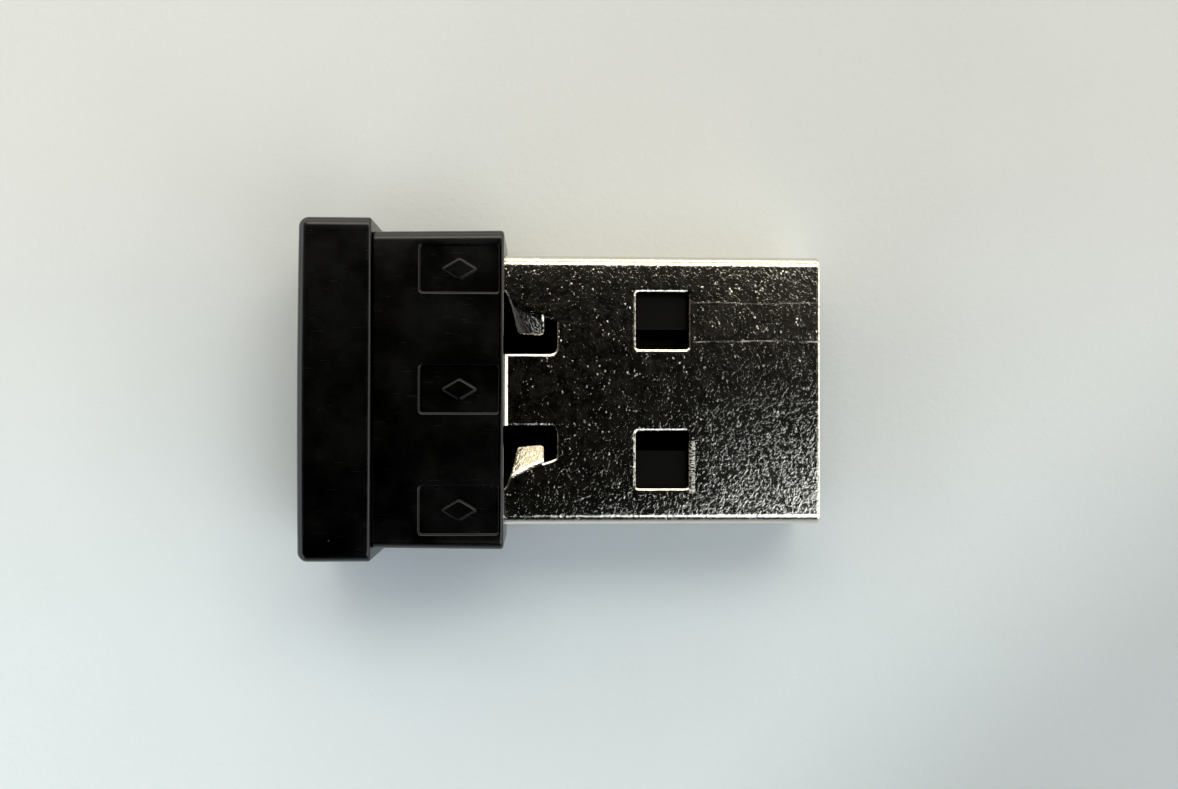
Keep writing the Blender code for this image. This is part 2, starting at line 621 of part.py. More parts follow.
def build_collar():
    """Make the front housing: a collar round the shell's rear, with a spigot for the end cap."""
    low_z = MIDDLE_Z - COLLAR_HEIGHT / 2
    half = COLLAR_FRONT_WIDTH / 2
    low = (CAP_FRONT_X, -half, low_z)
    mesh = block_mesh("collar_housing", low, (COLLAR_FRONT_X, half, low_z + COLLAR_HEIGHT))
    for corner in mesh.vertices:
        if corner.co.x < COLLAR_FRONT_X - MM:
            corner.co.y *= COLLAR_REAR_WIDTH / COLLAR_FRONT_WIDTH
    collar = add_part("collar_housing", mesh, BLACK_PLASTIC)

    def weight_of(direction, middle):
        if abs(direction.x) > MM:
            return 1.0
        return COLLAR_FRONT_RADIUS / COLLAR_EDGE_RADIUS if middle.x > COLLAR_FRONT_X - MM else 0.0

    weight_edges(collar, weight_of)
    bevel(collar, COLLAR_EDGE_RADIUS, 3, "WEIGHT")
    spigot_low = (SPIGOT_REAR_X, -SPIGOT_WIDTH / 2, MIDDLE_Z - SPIGOT_HEIGHT / 2)
    spigot_high = (CAP_FRONT_X + MM, SPIGOT_WIDTH / 2, MIDDLE_Z + SPIGOT_HEIGHT / 2)
    spigot = add_cutter("spigot", block_mesh("spigot", spigot_low, spigot_high))
    bevel_long_edges(spigot, SPIGOT_RADIUS)
    boolean(collar, spigot, "UNION")
    snap_x = (CAP_FRONT_X + SPIGOT_REAR_X) / 2
    reach = SPIGOT_WIDTH / 2 + SNAP_DEPTH
    snap_low = (snap_x - SNAP_LENGTH / 2, -reach, MIDDLE_Z - SNAP_WIDTH / 2)
    snap_high = (snap_x + SNAP_LENGTH / 2, reach, MIDDLE_Z + SNAP_WIDTH / 2)
    snaps = add_cutter("snap_ribs", block_mesh("snap_ribs", snap_low, snap_high))
    bevel(snaps, SNAP_DEPTH, 1)
    boolean(collar, snaps, "UNION")
    mouth_y = SHELL_WIDTH / 2 + FIT
    mouth_z = SHELL_HEIGHT / 2 + FIT
    mouth_low = (SHELL_REAR_X - FIT, -mouth_y, MIDDLE_Z - mouth_z)
    mouth_high = (COLLAR_FRONT_X + MM, mouth_y, MIDDLE_Z + mouth_z)
    cut_block(collar, "mouth_cutter", mouth_low, mouth_high, MOUTH_RADIUS)
    cavity_low = (SPIGOT_REAR_X - MM, -CAVITY_WIDTH / 2, MIDDLE_Z - CAVITY_HEIGHT / 2)
    cavity_high = (COLLAR_FRONT_X, CAVITY_WIDTH / 2, MIDDLE_Z + CAVITY_HEIGHT / 2)
    cut_block(collar, "cavity_cutter", cavity_low, cavity_high)
    guide_y = BOARD_WIDTH / 2 + FIT
    guide_low = (SPIGOT_REAR_X - MM, -guide_y, BOARD_BOTTOM - FIT)
    cut_block(collar, "board_guide_cutter", guide_low, (COLLAR_FRONT_X - MM, guide_y, BOARD_TOP + FIT))
    for index in range(3):
        boolean(collar, panel_cutter(index), "DIFFERENCE")
    return collar


def build_cap():
    """Make the end cap: a cup over the collar's spigot, with pockets for the snap ribs."""
    low = (CAP_REAR_X, -CAP_WIDTH / 2, 0.0)
    mesh = block_mesh("end_cap", low, (CAP_FRONT_X, CAP_WIDTH / 2, CAP_HEIGHT))
    cap = add_part("end_cap", mesh, BLACK_PLASTIC)
    bevel(cap, CAP_RADIUS, 3)
    inner_y = SPIGOT_WIDTH / 2 + FIT
    inner_z = SPIGOT_HEIGHT / 2 + FIT
    inner_low = (CAP_INNER_X, -inner_y, MIDDLE_Z - inner_z)
    inner_high = (CAP_FRONT_X + MM, inner_y, MIDDLE_Z + inner_z)
    cut_block(cap, "cap_cutter", inner_low, inner_high, CAP_INNER_RADIUS)
    snap_x = (CAP_FRONT_X + SPIGOT_REAR_X) / 2
    reach = SPIGOT_WIDTH / 2 + SNAP_DEPTH + FIT
    pocket_low = (snap_x - SNAP_LENGTH / 2 - FIT, -reach, MIDDLE_Z - SNAP_WIDTH / 2 - FIT)
    pocket_high = (snap_x + SNAP_LENGTH / 2 + FIT, reach, MIDDLE_Z + SNAP_WIDTH / 2 + FIT)
    cut_block(cap, "snap_pocket_cutter", pocket_low, pocket_high)
    bore = add_cutter("light_pipe_bore", pipe_mesh("light_pipe_bore", PIPE_RADIUS + FIT / 2, 2 * CAP_WALL))
    boolean(cap, bore, "DIFFERENCE")
    return cap


def pipe_mesh(name, radius, length, start=None):
    """Return a round rod along +X on the light pipe's axis, about the cap's wall or from a place."""
    mesh = bpy.data.meshes.new(name)
    shape = bmesh.new()
    bmesh.ops.create_cone(shape, cap_ends=True, segments=24, radius1=radius, radius2=radius, depth=length)
    start = CAP_REAR_X + CAP_WALL / 2 - length / 2 if start is None else start
    for corner in shape.verts:
        x, y, z = corner.co
        corner.co = (start + length / 2 + z, PIPE_Y + y, PIPE_Z - x)
    shape.to_mesh(mesh)
    shape.free()
    mesh.shade_smooth()
    mesh.set_sharp_from_angle(angle=math.radians(35))
    return mesh


def build_light_pipe():
    """Make the clear rod that carries the lamp's light out through the cap's rear wall."""
    start = CAP_REAR_X + PIPE_RECESS
    rod_length = CAP_WALL + FIT / 2
    pipe = add_part("light_pipe", pipe_mesh("light_pipe", PIPE_RADIUS, rod_length, start), CLEAR_PLASTIC)
    flange_start = CAP_INNER_X + PIPE_FLANGE_GAP
    flange_mesh = pipe_mesh("light_pipe_flange", PIPE_FLANGE_RADIUS, PIPE_FLANGE_LENGTH, flange_start)
    boolean(pipe, add_cutter("light_pipe_flange", flange_mesh), "UNION")
    return pipe


build_shell()
build_insulator()
build_contacts()
build_board()
build_upper_components()
build_lower_components()
build_collar()
build_cap()
build_light_pipe()
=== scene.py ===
"""The looks of a nano USB wifi adapter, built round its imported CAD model.

Metres, in the model's own frame: +Z up, +X to the plug's tip, +Y across the plug.
"""
import math

import bmesh
import bpy
from mathutils import Euler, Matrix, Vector


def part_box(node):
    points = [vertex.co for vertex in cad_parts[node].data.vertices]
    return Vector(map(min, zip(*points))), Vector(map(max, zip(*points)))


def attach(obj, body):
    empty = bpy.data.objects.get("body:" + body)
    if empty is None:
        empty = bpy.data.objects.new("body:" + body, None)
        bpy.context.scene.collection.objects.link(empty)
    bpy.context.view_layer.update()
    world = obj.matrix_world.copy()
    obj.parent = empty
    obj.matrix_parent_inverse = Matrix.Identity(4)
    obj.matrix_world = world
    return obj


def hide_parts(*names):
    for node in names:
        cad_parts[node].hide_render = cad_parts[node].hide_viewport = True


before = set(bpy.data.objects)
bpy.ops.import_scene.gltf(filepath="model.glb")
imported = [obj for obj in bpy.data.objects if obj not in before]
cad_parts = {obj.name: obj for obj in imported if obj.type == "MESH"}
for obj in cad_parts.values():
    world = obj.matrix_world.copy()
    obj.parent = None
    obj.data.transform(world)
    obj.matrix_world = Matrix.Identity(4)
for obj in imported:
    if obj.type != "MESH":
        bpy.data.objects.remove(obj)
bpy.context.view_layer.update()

MM = 0.001
BODY = "root"

# ---------------------------------------------------------------------------- sizes and places

CAP_LOW, CAP_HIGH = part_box("end_cap")
COLLAR_LOW, COLLAR_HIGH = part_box("collar_housing")
SHELL_LOW, SHELL_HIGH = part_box("usb_shell")
BOARD_LOW, BOARD_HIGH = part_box("circuit_board")
PIPE_LOW, PIPE_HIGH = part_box("light_pipe")
TONGUE_TIP_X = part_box("usb_insulator")[1].x

MIDDLE_Z = (SHELL_LOW.z + SHELL_HIGH.z) / 2
CAP_REAR_X = CAP_LOW.x
CAP_FRONT_X = CAP_HIGH.x
COLLAR_FRONT_X = COLLAR_HIGH.x
SPIGOT_REAR_X = COLLAR_LOW.x
SHELL_REAR_X = SHELL_LOW.x
TIP_X = SHELL_HIGH.x
FIT = 0.05 * MM                     # the play between two housing parts, on each side
HOLD = 0.03 * MM                    # how far past a rounded edge the ring lies that keeps its flat flat
CAP_HOLD = 0.05 * MM
COLLAR_HOLD = 0.04 * MM

# The end cap.
CAP_HALF_WIDTH = CAP_HIGH.y
CAP_HALF_HEIGHT = (CAP_HIGH.z - CAP_LOW.z) / 2
CAP_EDGE = 0.42 * MM
CAP_REAR_FILLET = 0.45 * MM
CAP_FRONT_FILLET = 0.14 * MM
CAP_WALL = 0.9 * MM
CAP_BOW = 0.06 * MM                 # how far the rear face's middle stands out past its ends
CAP_BOW_STEPS = 24
CAP_MOUTH_LIP = 0.08 * MM
PIPE_COUNTERSINK = 0.06 * MM

# The collar, its mouth and its spigot.
COLLAR_HALF_WIDTH = COLLAR_HIGH.y
COLLAR_HALF_HEIGHT = (COLLAR_HIGH.z - COLLAR_LOW.z) / 2
COLLAR_FLARE = 0.08 * MM            # how much each side spreads from the cap to the front
COLLAR_EDGE = 0.42 * MM
COLLAR_FRONT_FILLET = 0.14 * MM
COLLAR_REAR_FILLET = 0.05 * MM
MOUTH_HALF_WIDTH = SHELL_HIGH.y + FIT
MOUTH_HALF_HEIGHT = SHELL_HIGH.z - MIDDLE_Z + FIT
MOUTH_CORNER = 0.45 * MM
MOUTH_LIP = 0.06 * MM
SPIGOT_HALF_WIDTH = 6.55 * MM
SPIGOT_HALF_HEIGHT = 2.55 * MM
SPIGOT_CORNER = 0.2 * MM
SPIGOT_REAR_FILLET = 0.15 * MM
CAVITY_HALF_WIDTH = 5.1 * MM
CAVITY_HALF_HEIGHT = 1.9 * MM
CAVITY_CORNER = 0.1 * MM
SMALLEST_CORNER = 0.03 * MM         # keeps a section's corner points apart
HOUSING_SHARP_ANGLE = 50

# The three recessed panels on the collar, and the raised lozenge in each.
PANEL_LENGTH = 3.5 * MM
PANEL_WIDTH = 2.1 * MM
PANEL_CORNER = 0.16 * MM
PANEL_DEPTH = 0.1 * MM
PANEL_PITCH = 5.26 * MM
PANEL_COUNT = 3
PANEL_LIP = 0.18 * MM               # what is left in front of a panel
PANEL_EDGE = 0.045 * MM             # the rounding of a panel's and a lozenge's upper edge
PANEL_FOOT = PANEL_EDGE / 2         # the rounding where their sides meet the panel's floor
PANEL_DRAFT = 0.02 * MM
PANEL_FLAT = 0.02 * MM
LOZENGE_LENGTH = 1.5 * MM
LOZENGE_WIDTH = 0.9 * MM
LOZENGE_CORNER = 0.1 * MM
LOZENGE_CORNER_STEPS = 6

# The plug's folded sheet.
SHEET = 0.3 * MM
SHELL_WIDTH = SHELL_HIGH.y - SHELL_LOW.y
SHELL_HEIGHT = SHELL_HIGH.z - SHELL_LOW.z
SHELL_CORNER = 0.5 * MM
WINDOW_LENGTH = 2.4 * MM
WINDOW_WIDTH = 2.58 * MM
WINDOW_CORNER = 0.16 * MM
WINDOW_FROM_TIP = 5.87 * MM
WINDOW_OFFSET = 3.1 * MM
WINDOW_X = TIP_X - WINDOW_FROM_TIP - WINDOW_LENGTH / 2
SEAM_GAP = 0.06 * MM
DOVETAIL_NECK = 1.1 * MM
DOVETAIL_HEAD = 1.7 * MM
DOVETAIL_DEPTH = 0.8 * MM
TAB_HALF_WIDTH = 1.58 * MM
TAB_REAR_X = COLLAR_FRONT_X + 0.05 * MM
TAB_LIP = 0.11 * MM                 # the turned-up rear edge of the centre tab
TAB_LIP_SLOPE = 0.5
NOTCH_FRONT_X = COLLAR_FRONT_X + 2.35 * MM
NOTCH_CORNER = 0.33 * MM
NOTCH_END = 2.95 * MM
SLOT_END = 3.24 * MM                # the slot between a flap's front edge and the notch's front
SLOT_CORNER = 0.14 * MM
SLOT_CORNER_TURN = 60
STRIP_START = 4.35 * MM             # the strip beside each flap that runs on into the collar
FLAP_WIDTH = 1.57 * MM
FLAP_FRONT_X = NOTCH_FRONT_X - 0.6 * MM
FLAP_REAR_X = FLAP_FRONT_X - FLAP_WIDTH
FLAP_TIP = 2.3 * MM
FLAP_CORNER = 0.25 * MM
FLAP_TAPER = 0.28 * MM              # how much narrower a flap's tip is than its fold
FLAP_REAR_SIDE = 190                # the angle at which the tapered rear side meets the tip's corner
FLAP_FOLD_FRONT = 3.35 * MM         # the fold runs from here at a flap's front to FLAP_FOLD_REAR
FLAP_FOLD_REAR = 4.1 * MM
FLAP_BEND_RADIUS = 0.8 * MM
FLAP_ANGLE = math.radians(27.0)
NOTCH_MIDDLE = (FLAP_TIP + TAB_HALF_WIDTH) / 2
DIE_ROLL = 0.13 * MM                # how far in from a cut edge the punch has rolled the face down
DIE_ROLL_DEPTH = 0.031 * MM
DIE_ROLL_STEPS = 6
BURR_EDGE = 0.03 * MM
FOLD_STEPS = 12
BLEND_STEPS = 8
FLAP_STEPS = 4
SHELL_SHARP_ANGLE = 46
ARC_STEPS = 8

# The light pipe.
PIPE_Y = (PIPE_LOW.y + PIPE_HIGH.y) / 2
PIPE_Z = (PIPE_LOW.z + PIPE_HIGH.z) / 2
PIPE_RADIUS = 0.5 * MM
PIPE_SEGMENTS = 48

CUT_TOLERANCE = 1e-8


# ---------------------------------------------------------------------------- mesh tools

def arc(centre_x, centre_y, radius, start, end, steps=ARC_STEPS):
    """Return points along an arc; the angles are in degrees."""
    points = []
    for i in range(steps + 1):
        angle = math.radians(start + (end - start) * i / steps)
        points.append((centre_x + radius * math.cos(angle), centre_y + radius * math.sin(angle)))
    return points


def rounded_rectangle(centre_x, centre_y, length, width, radius):
    """Return the outline of a rectangle with round corners, anticlockwise."""
    x = length / 2 - radius
    y = width / 2 - radius
    outline = []
    for sign_x, sign_y, start in ((1, 1, 0), (-1, 1, 90), (-1, -1, 180), (1, -1, 270)):
        outline += arc(centre_x + sign_x * x, centre_y + sign_y * y, radius, start, start + 90)
    return outline


def signed_area(outline):
    """Return the area inside an outline, positive if it runs anticlockwise."""
    pairs = zip(outline, outline[1:] + outline[:1])
    return sum(a[0] * b[1] - b[0] * a[1] for a, b in pairs) / 2


def offset_outline(outline, distance):
    """Move an outline to its left by a distance, with mitred corners."""
    moved = []
    count = len(outline)
    for i in range(count):
        before, here, after = (Vector(outline[(i + step) % count]) for step in (-1, 0, 1))
        first = (here - before).normalized()
        second = (after - here).normalized()
        normal_1 = Vector((-first.y, first.x))
        normal_2 = Vector((-second.y, second.x))
        mitre = (normal_1 + normal_2) / (1.0 + normal_1.dot(normal_2))
        moved.append(tuple(here + mitre * distance))
    return moved


def add_ring(shape, points):
    """Add a closed ring of vertices."""
    return [shape.verts.new(point) for point in points]


def bridge(shape, ring_a, ring_b, skip=()):
    """Join two rings of the same length with quads, leaving out those whose places are in skip."""
    count = len(ring_a)
    for i in range(count):
        if i not in skip:
            j = (i + 1) % count
            shape.faces.new((ring_a[i], ring_a[j], ring_b[j], ring_b[i]))


def join_rings(shape, rings):
    """Join each ring to the next one."""
    for ring_a, ring_b in zip(rings, rings[1:]):
        bridge(shape, ring_a, ring_b)


def add_levels(shape, outline_at, levels):
    """Build joined rings from pairs of offset and height; outline_at gives the outline at an offset."""
    rings = []
    for offset, z in levels:
        rings.append(add_ring(shape, [(x, y, z) for x, y in outline_at(offset)]))
    join_rings(shape, rings)
    return rings


def slice_mesh(shape, position, normal, behind=None):
    """Divide the faces along a plane, all of them or only those behind a place along the plug."""
    geometry = shape.verts[:] + shape.edges[:] + shape.faces[:]
    if behind is not None:
        faces = [face for face in shape.faces if face.calc_center_median().x < behind]
        geometry = list({part for face in faces for part in (face, *face.verts, *face.edges)})
    bmesh.ops.bisect_plane(shape, geom=geometry, dist=CUT_TOLERANCE, plane_co=position, plane_no=normal)


def ring_edges(shape, ring):
    """Return the edges round a ring, making those that aren't there yet."""
    edges = []
    for a, b in zip(ring, ring[1:] + ring[:1]):
        edge = shape.edges.get((a, b))
        edges.append(edge or shape.edges.new((a, b)))
    return edges


def fill_between(shape, rings):
    """Fill the flat area inside the first ring and outside the others."""
    edges = [edge for ring in rings for edge in ring_edges(shape, ring)]
    bmesh.ops.triangle_fill(shape, use_beauty=True, edges=edges)


def quarter(radius, steps):
    """Return how far in and how deep a rounded edge runs, from its flat face to its side."""
    turns = []
    for i in range(steps + 1):
        angle = math.pi / 2 * i / steps
        turns.append((radius * (1.0 - math.sin(angle)), radius * (1.0 - math.cos(angle))))
    return turns


def finish_piece(name, shape, material, replaced, sharp_angle):
    """Turn a finished mesh into a piece that rides on the object's body in place of a CAD node."""
    bmesh.ops.recalc_face_normals(shape, faces=shape.faces)
    mesh = bpy.data.meshes.new(name)
    shape.to_mesh(mesh)
    shape.free()
    mesh.shade_smooth()
    mesh.set_sharp_from_angle(angle=math.radians(sharp_angle))
    piece = bpy.data.objects.new(name, mesh)
    bpy.context.scene.collection.objects.link(piece)
    piece.data.materials.append(material)
    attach(piece, BODY)
    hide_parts(replaced)


# ---------------------------------------------------------------------------- the plug's shell

def profile_lengths():
    """Return where the shell's profile turns, as lengths round its outside from the top centre."""
    fold = SHELL_CORNER * math.pi / 2
    top = SHELL_WIDTH / 2 - SHELL_CORNER
    side_start = top + fold
    side_end = side_start + SHELL_HEIGHT - 2 * SHELL_CORNER
    bottom = side_end + fold
    return top, side_start, side_end, bottom, bottom + top


def smooth_step(value):
    """Ease a share between 0 and 1."""
    share = min(max(value, 0.0), 1.0)
    return share * share * (3.0 - 2.0 * share)


def flap_drop(x, length):
    """Return how far the sheet is bent in and down at a point of the flat pattern."""
    along = min(max((x - FLAP_REAR_X) / FLAP_WIDTH, 0.0), 1.0)
    fold = FLAP_FOLD_REAR + (FLAP_FOLD_FRONT - FLAP_FOLD_REAR) * along
    past = fold - length
    if past <= 0.0 or length < NOTCH_MIDDLE or x >= NOTCH_FRONT_X:
        return 0.0, 0.0
    blend = smooth_step((NOTCH_FRONT_X - x) / (NOTCH_FRONT_X - FLAP_FRONT_X))
    curved = min(past / FLAP_BEND_RADIUS, FLAP_ANGLE)
    straight = past - curved * FLAP_BEND_RADIUS
    across = FLAP_BEND_RADIUS * math.sin(curved) + straight * math.cos(FLAP_ANGLE)
    down = FLAP_BEND_RADIUS * (1.0 - math.cos(curved)) + straight * math.sin(FLAP_ANGLE)
    return blend * (past - across), blend * down


def lip_rise(x, length):
    """Return how far the rear edge of the centre tab is turned up, straight over its rolled edge."""
    if length > NOTCH_MIDDLE:
        return 0.0
    run = min(max(TAB_REAR_X + TAB_LIP - x, 0.0), TAB_LIP)
    rolled = min(max((TAB_REAR_X + DIE_ROLL - x) / DIE_ROLL, 0.0), 1.0)
    return TAB_LIP_SLOPE * run + DIE_ROLL_DEPTH * rolled * rolled


def fold_point(x, length):
    """Fold a point of the flat pattern round the shell's profile."""
    top, side_start, side_end, bottom, half_girth = profile_lengths()
    side = 1.0 if length >= 0.0 else -1.0
    length = abs(length)
    centre_y = SHELL_WIDTH / 2 - SHELL_CORNER
    centre_z = SHELL_HEIGHT / 2 - SHELL_CORNER
    if length <= top:
        outward, down = flap_drop(x, length)
        y, z = length + outward, SHELL_HEIGHT / 2 - down + lip_rise(x, length)
    elif length <= side_start:
        angle = (length - top) / SHELL_CORNER
        y, z = centre_y + SHELL_CORNER * math.sin(angle), centre_z + SHELL_CORNER * math.cos(angle)
    elif length <= side_end:
        y, z = SHELL_WIDTH / 2, centre_z - (length - side_start)
    elif length <= bottom:
        angle = (length - side_end) / SHELL_CORNER
        y, z = centre_y + SHELL_CORNER * math.cos(angle), -centre_z - SHELL_CORNER * math.sin(angle)
    else:
        y, z = half_girth - length, -SHELL_HEIGHT / 2
    return Vector((x, side * y, MIDDLE_Z + z))


def fold_sheet_point(x, length, depth):
    """Fold a point that lies some depth inside the sheet."""
    step = 1e-3 * MM
    point = fold_point(x, length)
    along = fold_point(x + step, length) - fold_point(x - step, length)
    across = fold_point(x, length + step) - fold_point(x, length - step)
    return point - along.cross(across).normalized() * depth


def rear_edge(side):
    """Return the outline of the shell's rear edge on one side, from the seam to the centre tab."""
    edge = [(SHELL_REAR_X, STRIP_START), (TAB_REAR_X, STRIP_START), (FLAP_REAR_X, FLAP_FOLD_REAR)]
    corner_y = FLAP_TIP + FLAP_CORNER
    edge += arc(FLAP_REAR_X + FLAP_TAPER + FLAP_CORNER, corner_y, FLAP_CORNER, FLAP_REAR_SIDE, 270)
    edge += arc(FLAP_FRONT_X - FLAP_CORNER, corner_y, FLAP_CORNER, 270, 360)
    edge += [(FLAP_FRONT_X, SLOT_END)]
    edge += arc(NOTCH_FRONT_X - SLOT_CORNER, NOTCH_END, SLOT_CORNER, SLOT_CORNER_TURN, 0, steps=4)
    edge += arc(NOTCH_FRONT_X - NOTCH_CORNER, TAB_HALF_WIDTH + NOTCH_CORNER, NOTCH_CORNER, 0, -90)
    edge += [(TAB_REAR_X, TAB_HALF_WIDTH)]
    return [(x, side * length) for x, length in edge]


def seam_edge(side):
    """Return one edge of the underside seam, with the dovetail's head or its socket."""
    spare = 0.0 if side > 0 else SEAM_GAP
    neck = DOVETAIL_NECK / 2 + spare
    head = DOVETAIL_HEAD / 2 + spare
    edge = side * (profile_lengths()[-1] - SEAM_GAP / 2)
    depth = edge + DOVETAIL_DEPTH + spare
    joint = [(neck, edge), (head, depth), (-head, depth), (-neck, edge)]
    return [(TIP_X, edge)] + [(WINDOW_X + x, length) for x, length in joint] + [(SHELL_REAR_X, edge)]


def flat_pattern():
    """Return the outline of the shell's sheet before folding, and of its four windows."""
    outline = seam_edge(1) + rear_edge(1) + list(reversed(seam_edge(-1) + rear_edge(-1)))
    underside = profile_lengths()[-1] - WINDOW_OFFSET
    windows = []
    for place in (WINDOW_OFFSET, -WINDOW_OFFSET, underside, -underside):
        windows.append(rounded_rectangle(WINDOW_X, place, WINDOW_LENGTH, WINDOW_WIDTH, WINDOW_CORNER))
    return [outline] + windows


def stamp_slab(outlines):
    """Make a flat sheet, its depth along -Z, with upper edges rolled by the die and rounded lower ones."""
    shape = bmesh.new()
    upper, lower = [], []
    levels = [(DIE_ROLL + HOLD, 0.0)]
    for i in range(DIE_ROLL_STEPS + 1):
        share = i / DIE_ROLL_STEPS
        levels.append((DIE_ROLL * (1.0 - share), -DIE_ROLL_DEPTH * share * share))
    levels += [(depth, inset - SHEET) for inset, depth in quarter(BURR_EDGE, steps=2)]
    levels.append((BURR_EDGE + HOLD, -SHEET))
    for index, outline in enumerate(outlines):
        outer = index == 0
        if (signed_area(outline) > 0.0) != outer:
            outline = list(reversed(outline))
        rings = add_levels(shape, lambda inset: offset_outline(outline, inset), levels)
        upper.append(rings[0])
        lower.append(rings[-1])
    fill_between(shape, upper)
    fill_between(shape, lower)
    return shape


def build_shell(material):
    """Stamp the shell's sheet flat, divide it where it bends, then fold it round."""
    shape = stamp_slab(flat_pattern())
    top, side_start, side_end, bottom, _ = profile_lengths()
    for start, end in ((top, side_start), (side_end, bottom)):
        for i in range(FOLD_STEPS + 1):
            for side in (1, -1):
                place = side * (start + (end - start) * i / FOLD_STEPS)
                slice_mesh(shape, (0.0, place, 0.0), (0.0, 1.0, 0.0))
    slice_mesh(shape, (NOTCH_FRONT_X, 0.0, 0.0), (1.0, 0.0, 0.0))
    blend_length = NOTCH_FRONT_X - FLAP_FRONT_X
    places = [FLAP_FRONT_X + blend_length * i / BLEND_STEPS for i in range(BLEND_STEPS)]
    places += [FLAP_REAR_X + FLAP_WIDTH * i / FLAP_STEPS for i in range(FLAP_STEPS)]
    places += [TAB_REAR_X + TAB_LIP, TAB_REAR_X + TAB_LIP + HOLD]
    for place in places:
        slice_mesh(shape, (place, 0.0, 0.0), (1.0, 0.0, 0.0), NOTCH_FRONT_X)
    for i in range(FOLD_STEPS + 1):
        start = FLAP_FOLD_FRONT - FLAP_BEND_RADIUS * FLAP_ANGLE * i / FOLD_STEPS
        for side in (1, -1):
            normal = (FLAP_FOLD_REAR - FLAP_FOLD_FRONT, side * FLAP_WIDTH, 0.0)
            slice_mesh(shape, (FLAP_FRONT_X, side * start, 0.0), normal, NOTCH_FRONT_X)
    for point in shape.verts:
        point.co = fold_sheet_point(point.co.x, point.co.y, -point.co.z)
    finish_piece("plug_shell", shape, material, "usb_shell", SHELL_SHARP_ANGLE)


# ---------------------------------------------------------------------------- the housing

def section(x, size, grown=0.0):
    """Return a rounded rectangle across the plug, from the top right corner round to the top left.

    The size is half the width, half the height and the corner's radius, and all three may be grown.
    """
    half_width, half_height, radius = (measure + grown for measure in size)
    corner = max(radius, SMALLEST_CORNER)
    y = half_width - corner
    z = half_height - corner
    points = []
    for sign_y, sign_z, start in ((1, 1, 90), (1, -1, 0), (-1, -1, -90), (-1, 1, -180)):
        for a, b in arc(sign_y * y, MIDDLE_Z + sign_z * z, corner, start, start - 90):
            points.append((x, a, b))
    return points


def fillet_sections(face_x, towards, size, radius, steps):
    """Return the sections of a rounded end, from its face to its side; towards is +1 or -1."""
    return [section(face_x + towards * depth, size, -inset) for inset, depth in quarter(radius, steps)]


def loft(shape, sections, closed=False, open_after=None):
    """Join sections one after the other, leaving the top flat open after one of them."""
    rings = [add_ring(shape, points) for points in sections]
    count = len(rings)
    last = count if closed else count - 1
    for i in range(last):
        top_flat = (len(rings[0]) - 1,) if i == open_after else ()
        bridge(shape, rings[i], rings[(i + 1) % count], top_flat)
    return rings


def round_hole(x, radius):
    """Return a circle on the light pipe's axis."""
    points = []
    for i in range(PIPE_SEGMENTS):
        angle = 2.0 * math.pi * i / PIPE_SEGMENTS
        points.append((x, PIPE_Y + radius * math.cos(angle), PIPE_Z + radius * math.sin(angle)))
    return points


def build_cap(material):
    """Make the end cap: a cup with a rounded and slightly bowed rear, and the light pipe's hole."""
    shape = bmesh.new()
    outside = (CAP_HALF_WIDTH, CAP_HALF_HEIGHT, CAP_EDGE)
    inside = (SPIGOT_HALF_WIDTH + FIT, SPIGOT_HALF_HEIGHT + FIT, SPIGOT_CORNER)
    inner_x = CAP_REAR_X + CAP_WALL
    sections = [section(inner_x, inside), section(CAP_FRONT_X - CAP_MOUTH_LIP, inside)]
    sections.append(section(CAP_FRONT_X, inside, CAP_MOUTH_LIP))
    flat = CAP_FRONT_FILLET + CAP_HOLD
    sections.append(section(CAP_FRONT_X, outside, -flat))
    sections += fillet_sections(CAP_FRONT_X, -1, outside, CAP_FRONT_FILLET, steps=6)
    sections.append(section(CAP_FRONT_X - flat, outside))
    flat = CAP_REAR_FILLET + CAP_HOLD
    sections.append(section(CAP_REAR_X + flat, outside))
    sections += reversed(fillet_sections(CAP_REAR_X, 1, outside, CAP_REAR_FILLET, steps=8))
    sections.append(section(CAP_REAR_X, outside, -flat))
    rings = loft(shape, sections)
    hole_radius = PIPE_RADIUS + FIT / 2
    countersunk = (CAP_REAR_X, hole_radius + PIPE_COUNTERSINK)
    places = [countersunk, (CAP_REAR_X + PIPE_COUNTERSINK, hole_radius), (inner_x, hole_radius)]
    holes = [add_ring(shape, round_hole(x, radius)) for x, radius in places]
    join_rings(shape, holes)
    fill_between(shape, [rings[-1], holes[0]])
    fill_between(shape, [rings[0], holes[-1]])
    for i in range(1, CAP_BOW_STEPS):
        y = CAP_HALF_WIDTH * (2.0 * i / CAP_BOW_STEPS - 1.0)
        slice_mesh(shape, (0.0, y, 0.0), (0.0, 1.0, 0.0))
    for point in shape.verts:
        share = (CAP_FRONT_X - point.co.x) / (CAP_FRONT_X - CAP_REAR_X)
        point.co.x += CAP_BOW * share * share * (point.co.y / CAP_HALF_WIDTH) ** 2
    finish_piece("end_cap_moulding", shape, material, "end_cap", HOUSING_SHARP_ANGLE)


def lozenge_outline(centre_x, centre_y, spare):
    """Return a lozenge with round corners, grown by a spare margin."""
    x, y = LOZENGE_LENGTH / 2, LOZENGE_WIDTH / 2
    corners = [Vector(corner) for corner in ((x, 0.0), (0.0, y), (-x, 0.0), (0.0, -y))]
    outline = []
    for i, here in enumerate(corners):
        before = (corners[i - 1] - here).normalized() * LOZENGE_CORNER
        after = (corners[(i + 1) % 4] - here).normalized() * LOZENGE_CORNER
        for step in range(LOZENGE_CORNER_STEPS + 1):
            share = step / LOZENGE_CORNER_STEPS
            bend = here + before * (1.0 - share) ** 2 + after * share ** 2
            outline.append((centre_x + bend.x, centre_y + bend.y))
    return offset_outline(outline, -spare)


